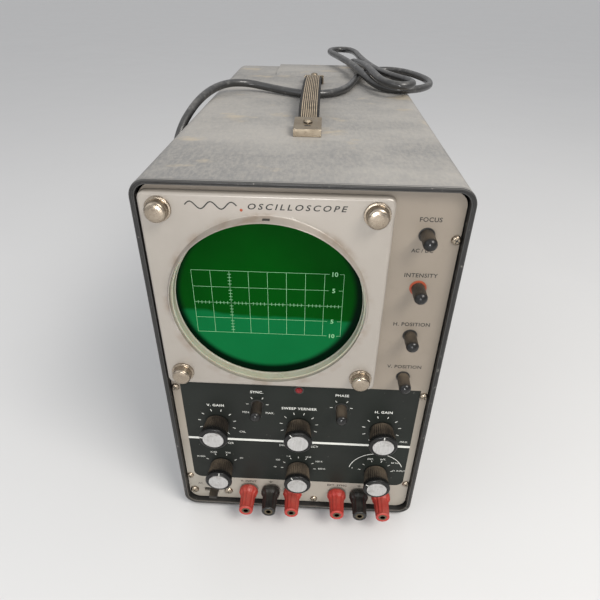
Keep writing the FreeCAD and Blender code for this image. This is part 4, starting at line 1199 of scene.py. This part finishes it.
# The CAD route's points, in metres.
CORD_ROUTE = [
    (-0.070, 0.232, 0.0320), (-0.070, 0.254, 0.0310), (-0.075, 0.275, 0.0190), (-0.086, 0.294, 0.0070),
    (-0.106, 0.308, 0.0040), (-0.130, 0.304, 0.0040), (-0.148, 0.284, 0.0040), (-0.157, 0.248, 0.0040),
    (-0.160, 0.192, 0.0040), (-0.157, 0.128, 0.0040), (-0.151, 0.066, 0.0040), (-0.142, 0.014, 0.0040),
    (-0.132, -0.022, 0.0070), (-0.124, -0.044, 0.0240), (-0.119, -0.055, 0.0560), (-0.117, -0.059, 0.1040),
    (-0.118, -0.058, 0.1600), (-0.119, -0.056, 0.2140), (-0.117, -0.049, 0.2560), (-0.112, -0.032, 0.2860),
    (-0.104, -0.008, 0.3010), (-0.095, 0.018, 0.3090), (-0.083, 0.042, 0.3120), (-0.066, 0.054, 0.3110),
    (-0.046, 0.052, 0.3080), (-0.026, 0.038, 0.3070), (-0.005, 0.025, 0.3070), (0.017, 0.030, 0.3070),
    (0.031, 0.052, 0.3070), (0.039, 0.082, 0.3070), (0.044, 0.114, 0.3070), (0.052, 0.146, 0.3070),
    (0.066, 0.170, 0.3070), (0.086, 0.177, 0.3070), (0.103, 0.163, 0.3070), (0.114, 0.138, 0.3070),
    (0.121, 0.108, 0.3070), (0.117, 0.080, 0.3070), (0.102, 0.060, 0.3070), (0.082, 0.054, 0.3070),
    (0.066, 0.066, 0.3070), (0.056, 0.090, 0.3100), (0.047, 0.122, 0.3145), (0.038, 0.158, 0.3165),
    (0.028, 0.196, 0.3170), (0.018, 0.228, 0.3175), (0.016, 0.248, 0.3175), (0.026, 0.263, 0.3175),
    (0.041, 0.261, 0.3175), (0.049, 0.243, 0.3170), (0.052, 0.212, 0.3160), (0.057, 0.176, 0.3150),
    (0.062, 0.138, 0.3150), (0.070, 0.104, 0.3150), (0.082, 0.076, 0.3150), (0.093, 0.056, 0.3150),
    (0.094, 0.038, 0.3150), (0.080, 0.029, 0.3150), (0.066, 0.042, 0.3160), (0.060, 0.074, 0.3180),
    (0.057, 0.110, 0.3180), (0.053, 0.146, 0.3165), (0.048, 0.180, 0.3140), (0.044, 0.208, 0.3110),
    (0.041, 0.230, 0.3030), (0.039, 0.242, 0.2820), (0.038, 0.245, 0.2560), (0.037, 0.244, 0.2260),
]


def make_strain_relief():
    """A tapered sleeve with moulded rings, around the lead where it leaves the cover."""
    low, high = cad("strain_relief")
    centre = middle("strain_relief")
    cover = cad("rear_cover")[1].y
    profile = [(0, low.y), (8.4, low.y), (8.4, low.y + 3.4), (7.0, low.y + 3.5), (7.0, cover + 0.1)]
    profile += [(9.0, cover + 0.1), (9.0, cover + 2.6), (6.9, cover + 3.2)]
    rings = 6
    start = cover + 4.0
    step = (high.y - 1.0 - start) / rings
    for i in range(rings):
        wide = 6.7 - 1.9 * i / rings
        at = start + step * i
        groove = wide - 0.9
        profile += [(wide, at), (wide, at + step * 0.6)]
        profile += [(groove, at + step * 0.68), (groove, at + step * 0.95)]
    profile += [(4.7, high.y - 0.8), (4.5, high.y), (0, high.y)]
    place = (centre.x, 0, centre.z)
    options = {"segments": 48, "reach": 0.25, "replaces": ["strain_relief"]}
    return turned("relief_sleeve", profile, place, RUBBER, "rubber", **options)


def make_plug():
    """A moulded two-blade plug: ribbed neck, waisted grip and a flat front face."""
    low, high = cad("plug_body")
    centre = middle("plug_body")
    shape = bmesh.new()
    # Height above the tip, half width and half depth.
    sections = [
        (0.0, 11.4, 6.6), (0.6, 12.0, 7.0), (6.0, 12.0, 7.0), (11.0, 10.2, 6.4), (16.0, 9.4, 6.2),
        (20.0, 10.4, 6.4), (23.0, 8.8, 6.0), (25.0, 6.4, 5.6), (28.0, 5.9, 5.4), (28.5, 5.2, 5.0),
        (29.6, 5.2, 5.0), (30.1, 5.7, 5.3), (31.6, 5.6, 5.2), (32.1, 4.9, 4.8), (33.2, 4.9, 4.8),
        (33.7, 5.3, 5.1), (35.2, 5.1, 5.0), (38.0, 4.4, 4.4),
    ]
    rings = []
    count = 56
    for rise, wide, deep in sections:
        power = 4.0 if rise < 24 else 2.0
        ring = []
        for i in range(count):
            angle = 2 * math.pi * i / count
            c, s = math.cos(angle), math.sin(angle)
            x = wide * math.copysign(abs(c) ** (2 / power), c)
            y = deep * math.copysign(abs(s) ** (2 / power), s)
            ring.append((centre.x + x, centre.y + y, low.z + rise))
        rings.append(ring)
    add_rings(shape, rings, closed_ends=True)
    mesh = mesh_of("plug_moulding", shape, 50)
    return piece("plug_moulding", mesh, RUBBER, "rubber", replaces=["plug_body"])


def make_cord():
    curve = bpy.data.curves.new("mains_lead", "CURVE")
    curve.dimensions = "3D"
    spline = curve.splines.new("NURBS")
    spline.points.add(len(CORD_ROUTE) - 1)
    for point, place in zip(spline.points, CORD_ROUTE):
        point.co = (*place, 1)
    spline.order_u = 3
    spline.use_endpoint_u = True
    curve.resolution_u = 10
    curve.bevel_depth = CORD_DIAMETER * MM / 2
    curve.bevel_resolution = 5
    curve.use_fill_caps = True
    lead = piece("mains_lead", curve, CORD, "cord", replaces=["power_cord"])
    relief = make_strain_relief()
    plug = make_plug()


# ---------------------------------------------------------------- studio


CAMERA_PLACE = (0.0108, -0.45835, 0.39955)


def make_camera():
    """A camera at the photograph's place: above and a little right of the front."""
    yaw, pitch, roll = -0.0398, 0.5848, 0.0143
    flat = math.cos(pitch)
    forward = Vector((math.sin(yaw) * flat, math.cos(yaw) * flat, -math.sin(pitch)))
    level = Vector((math.cos(yaw), -math.sin(yaw), 0))
    up = level.cross(forward)
    right = math.cos(roll) * level + math.sin(roll) * up
    top = -math.sin(roll) * level + math.cos(roll) * up
    data = bpy.data.cameras.new("photo_view")
    data.lens = 29.56
    data.sensor_width = 36.0
    data.clip_start = 0.01
    camera = bpy.data.objects.new("photo_view", data)
    turn_by = Matrix((right, top, -forward)).transposed().to_4x4()
    camera.matrix_world = Matrix.Translation(CAMERA_PLACE) @ turn_by
    bpy.context.scene.collection.objects.link(camera)
    bpy.context.scene.camera = camera


def make_light(name, place, target, size, power, colour=(1, 1, 1)):
    data = bpy.data.lights.new(name, "AREA")
    data.size = size
    data.energy = power
    data.color = colour
    light = bpy.data.objects.new(name, data)
    light.location = place
    direction = Vector(target) - Vector(place)
    light.rotation_euler = direction.to_track_quat("-Z", "Y").to_euler()
    bpy.context.scene.collection.objects.link(light)


def make_studio():
    bpy.ops.mesh.primitive_plane_add(size=40, location=(0, 0, 0))
    floor = bpy.context.object
    floor.name = "studio_floor"
    paint(floor, floor_paint())
    make_world()
    make_light("key", (0.75, -0.85, 1.35), (0, -0.1, 0.2), 0.7, 20, (1.0, 0.96, 0.90))
    make_light("fill", (-1.1, -0.9, 0.9), (0, -0.1, 0.15), 1.2, 4, (0.92, 0.96, 1.0))
    make_light("spark", (-0.10, -1.60, 0.32), (0, -0.2, 0.15), 0.30, 9.0)
    bpy.context.scene.view_settings.view_transform = "Standard"


def make_world():
    """Soft light that is bright overhead and dimmer towards the horizon and below it."""
    world = bpy.data.worlds.new("studio")
    world.use_nodes = True
    nodes, links = world.node_tree.nodes, world.node_tree.links
    direction = nodes.new("ShaderNodeTexCoord").outputs["Generated"]
    height = nodes.new("ShaderNodeSeparateXYZ")
    links.new(direction, height.inputs[0])
    ramp = nodes.new("ShaderNodeMapRange")
    links.new(height.outputs[2], ramp.inputs[0])
    heights, strengths = (-0.2, 0.9), (0.20, 0.86)
    for socket, value in zip((1, 2, 3, 4), heights + strengths):
        ramp.inputs[socket].default_value = value
    background = nodes["Background"]
    background.inputs[0].default_value = (0.98, 0.985, 1.0, 1)
    links.new(ramp.outputs[0], background.inputs[1])
    bpy.context.scene.world = world


make_camera()
make_studio()
make_cord()
finish_cad_nodes()
make_rolled_lip()
make_control_field()
make_panel_print()
make_field_print()
make_graticule()
make_bezel()
make_bezel_print()
make_ring_details()
make_bezel_nuts()
for knob, angle in POINTERS.items():
    make_big_knob(knob, angle)
for knob in SLIM:
    make_slim_knob(knob)
make_washers()
make_pilot()
make_slide_switch()
for post, colour in POSTS.items():
    make_post_cap(post, colour)
make_strap()
cad_copy("handle_brackets", "bracket_hoods", 0.4, BRACKET, "nickel")
make_bracket_details()
make_screw_heads()
make_louvres()
